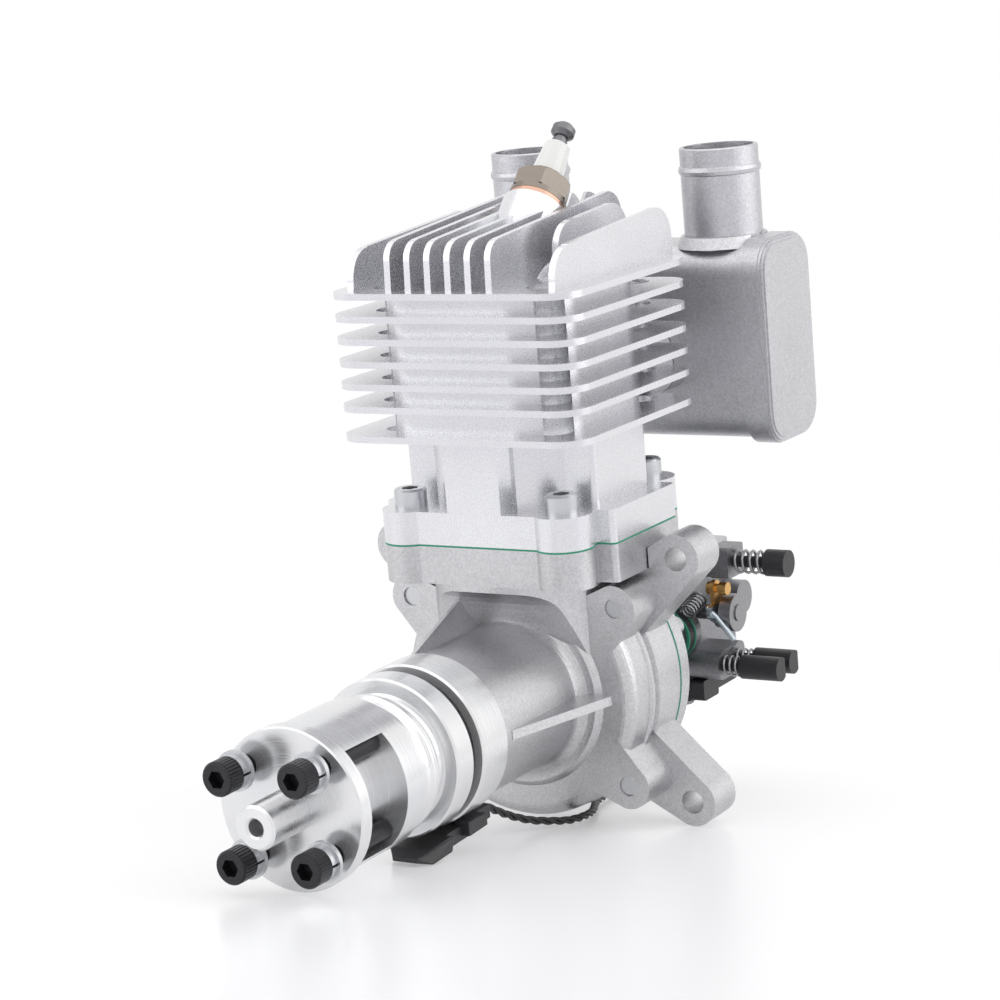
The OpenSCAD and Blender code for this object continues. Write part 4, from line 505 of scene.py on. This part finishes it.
# Throttle and choke shafts, springs and carburettor screws
# Plain steel, greyer than the plated screws; the shafts are turned and the springs are wound from wire.
plain_steel = cast_metal("plain steel", dark=(0.24, 0.24, 0.25), light=(0.36, 0.36, 0.375),
                         rough=(0.28, 0.42), grain_scale=1800, bump=0.12, painted_sparkle=0.1)
finish_nodes(plain_steel, ["carb_screws", "throttle_shaft", "throttle_spring", "choke_shaft",
                           "screw_springs"])

# Throttle lever
# Brass lever plate and swivel on the throttle shaft; the bent wire arm below them is zinc plated steel.
brass_above = 0.0089


def lever_metal():
    """Brass above the given height and bluish zinc below it."""
    material = cast_metal("brass and zinc", dark=(0.62, 0.34, 0.10), light=(0.80, 0.50, 0.20),
                          rough=(0.26, 0.38), grain_scale=1200, bump=0.04, painted_sparkle=0.05)
    tree = material.node_tree
    shader = tree.nodes["Principled BSDF"]
    place = node(tree, "ShaderNodeTexCoord")
    axes = node(tree, "ShaderNodeSeparateXYZ")
    low = node(tree, "ShaderNodeMath", operation="LESS_THAN", n_1=brass_above)
    shade = node(tree, "ShaderNodeTexNoise", i_Scale=300.0, i_Detail=2.0)
    zinc = two_tones(tree, dark=(0.44, 0.49, 0.53), light=(0.60, 0.66, 0.70))
    both = node(tree, "ShaderNodeMix", data_type="RGBA")
    brass = shader.inputs["Base Color"].links[0].from_socket
    link = tree.links.new
    link(place.outputs["Object"], axes.inputs[0])
    link(axes.outputs["Z"], low.inputs[0])
    link(place.outputs["Object"], shade.inputs["Vector"])
    link(shade.outputs["Fac"], zinc.inputs[0])
    link(low.outputs[0], both.inputs[0])
    link(brass, both.inputs[6])
    link(zinc.outputs[2], both.inputs[7])
    link(both.outputs[2], shader.inputs["Base Color"])
    return material


finish_nodes(lever_metal(), ["throttle_lever"])

# Floor and backdrop
# White studio sweep under the engine, which rests on the hub's rim and its two lower legs.
# It is pale paper near the engine and plain white further off behind it; further off in front it is a little
# darker and cooler, a painted shade.
rest_front = Vector((0, 0, -0.0201))
rest_rear = Vector((0, 0.1159, -0.0369))
fall = (rest_rear.z - rest_front.z) / (rest_rear.y - rest_front.y)
up = Vector((0, -fall, 1)).normalized()


def floor_plane():
    """Wide plane just under the resting points."""
    reach, gap = 6, 0.0001
    mesh = bpy.data.meshes.new("floor")
    side = Vector((1, 0, 0))
    ahead = up.cross(side).normalized()
    corners = [rest_front + reach * (x * side + y * ahead) - gap * up
               for x, y in ((-1, -1), (1, -1), (1, 1), (-1, 1))]
    mesh.from_pydata(corners, [], [(0, 1, 2, 3)])
    made = bpy.data.objects.new("floor", mesh)
    bpy.context.scene.collection.objects.link(made)
    return made


def floor_material():
    """Pale paper that takes shadow and a soft reflection near the engine, and fades to a flat emitted tone
    around it that is white behind the engine and, as painted shade, a little darker and cooler in front."""
    paper_tone = (0.66, 0.66, 0.675)
    # Painted shade: the flat tone in front of the engine is a little darker and cooler than the white behind
    # it.
    front_painted_shade = (0.905, 0.9, 0.94)
    toward_back = (-0.53, 0.848, 0.0)
    engine_middle = (0.0, 0.07, -0.03)
    near, far = 0.2, 0.42
    material = bpy.data.materials.new("white sweep")
    material.use_nodes = True
    tree = material.node_tree
    paper = tree.nodes["Principled BSDF"]
    paper.inputs["Base Color"].default_value = (*paper_tone, 1)
    paper.inputs["Roughness"].default_value = 0.28
    paper.inputs["Specular IOR Level"].default_value = 0.5
    paper.inputs["Emission Color"].default_value = (1, 1, 1, 1)
    paper.inputs["Emission Strength"].default_value = 0.3
    grain = node(tree, "ShaderNodeTexNoise", i_Scale=600.0, i_Detail=2.0)
    relief = node(tree, "ShaderNodeBump", i_Strength=0.02, i_Distance=0.0002)
    place = node(tree, "ShaderNodeTexCoord")
    depth = node(tree, "ShaderNodeVectorMath", operation="DOT_PRODUCT")
    depth.inputs[1].default_value = toward_back
    behind = node(tree, "ShaderNodeMapRange", interpolation_type="SMOOTHSTEP", i_From_Min=-0.03,
                  i_From_Max=0.09)
    tone = two_tones(tree, dark=front_painted_shade, light=(1, 1, 1))
    plain = node(tree, "ShaderNodeEmission", i_Strength=1.0)
    middle = node(tree, "ShaderNodeVectorMath", operation="DISTANCE")
    middle.inputs[1].default_value = engine_middle
    fade = node(tree, "ShaderNodeMapRange", interpolation_type="SMOOTHSTEP", i_From_Min=near, i_From_Max=far)
    mixed = node(tree, "ShaderNodeMixShader")
    link = tree.links.new
    link(place.outputs["Object"], grain.inputs["Vector"])
    link(grain.outputs["Fac"], relief.inputs["Height"])
    link(relief.outputs["Normal"], paper.inputs["Normal"])
    link(place.outputs["Object"], depth.inputs[0])
    link(depth.outputs["Value"], behind.inputs["Value"])
    link(behind.outputs[0], tone.inputs[0])
    link(tone.outputs[2], plain.inputs["Color"])
    link(place.outputs["Object"], middle.inputs[0])
    link(middle.outputs["Value"], fade.inputs["Value"])
    link(fade.outputs[0], mixed.inputs[0])
    link(paper.outputs[0], mixed.inputs[1])
    link(plain.outputs[0], mixed.inputs[2])
    link(mixed.outputs[0], tree.nodes["Material Output"].inputs["Surface"])
    return material


floor = floor_plane()
floor.data.materials.append(floor_material())

# Camera
# Stands to the front right and slightly above, as in the photograph.
# Its place, its axes and its lens come from the screws, holes and fin corners seen there.
camera_data = bpy.data.cameras.new("camera")
camera_data.sensor_width = 36
camera_data.lens = 108.25
camera_data.clip_start = 0.05
camera = bpy.data.objects.new("camera", camera_data)
camera_right = Vector((0.85374, 0.51430, -0.08135))
camera_up = Vector((-0.03561, 0.21354, 0.97629))
camera_back = Vector((0.51947, -0.83060, 0.20062))
camera_place = (0.401329, -0.538978, 0.206262)
camera_turn = Matrix((camera_right, camera_up, camera_back)).transposed()
camera.matrix_world = Matrix.Translation(camera_place) @ camera_turn.to_4x4()
bpy.context.scene.collection.objects.link(camera)
bpy.context.scene.camera = camera


# Studio light
# Large soft boxes above and at both sides, as for a product on a white sweep.
# All three are turned to the middle of the engine.
def soft_box(name, place, size, power):
    """Square area lamp turned to the middle of the engine."""
    aim = Vector((0, 0.1, 0.05))
    lamp = bpy.data.lights.new(name, "AREA")
    lamp.shape = "SQUARE"
    lamp.size = size
    lamp.energy = power
    made = bpy.data.objects.new(name, lamp)
    made.location = place
    made.rotation_euler = (aim - Vector(place)).to_track_quat("-Z", "Y").to_euler()
    bpy.context.scene.collection.objects.link(made)


soft_box("top light", place=(0.1, 0.1, 1.2), size=2.1, power=7.5)
soft_box("left light", place=(-0.9, -0.7, 0.5), size=1.2, power=4)
soft_box("right light", place=(1.0, 0.5, 0.45), size=1.1, power=4)


def studio_world():
    """White where the camera, metal and glass see it; dull surfaces get light from a dim room with bright
    panels to the left, right and above."""
    room_level = 0.4
    right_panel = ((0.74, 0.64, -0.1), 0.35, 0.9, 0.42)
    front_left_panel = ((-0.6, -0.78, -0.05), 0.45, 0.92, 0.55)
    top_panel = ((0.0, 0.25, 0.97), 0.45, 0.95, 0.12)
    left_panel = ((-0.9, 0.4, 0.1), 0.5, 0.95, 0.4)
    world = bpy.data.worlds.new("studio")
    bpy.context.scene.world = world
    world.use_nodes = True
    sky = world.node_tree
    link = sky.links.new
    background = sky.nodes["Background"]
    background.inputs["Color"].default_value = (1, 1, 1, 1)
    direction = node(sky, "ShaderNodeTexCoord")
    total = None
    for toward, start, full, glow_level in (right_panel, front_left_panel, top_panel, left_panel):
        along = node(sky, "ShaderNodeVectorMath", operation="DOT_PRODUCT")
        along.inputs[1].default_value = Vector(toward).normalized()
        glow = node(sky, "ShaderNodeMapRange", interpolation_type="SMOOTHSTEP", i_From_Min=start,
                    i_From_Max=full, i_To_Max=glow_level)
        added = node(sky, "ShaderNodeMath", operation="ADD", n_1=room_level)
        link(direction.outputs["Generated"], along.inputs[0])
        link(along.outputs["Value"], glow.inputs["Value"])
        link(glow.outputs[0], added.inputs[0])
        if total is not None:
            link(total, added.inputs[1])
        total = added.outputs[0]
    seen = node(sky, "ShaderNodeLightPath")
    seen_or_mirrored = node(sky, "ShaderNodeMath", operation="ADD")
    white = node(sky, "ShaderNodeMath", operation="ADD", use_clamp=True)
    strength = node(sky, "ShaderNodeMix", data_type="FLOAT")
    strength.inputs[3].default_value = 1.0
    link(seen.outputs["Is Camera Ray"], seen_or_mirrored.inputs[0])
    link(seen.outputs["Is Glossy Ray"], seen_or_mirrored.inputs[1])
    link(seen_or_mirrored.outputs[0], white.inputs[0])
    link(seen.outputs["Is Transmission Ray"], white.inputs[1])
    link(white.outputs[0], strength.inputs[0])
    link(total, strength.inputs[2])
    link(strength.outputs[0], background.inputs["Strength"])


studio_world()

bpy.context.scene.view_settings.view_transform = "Standard"
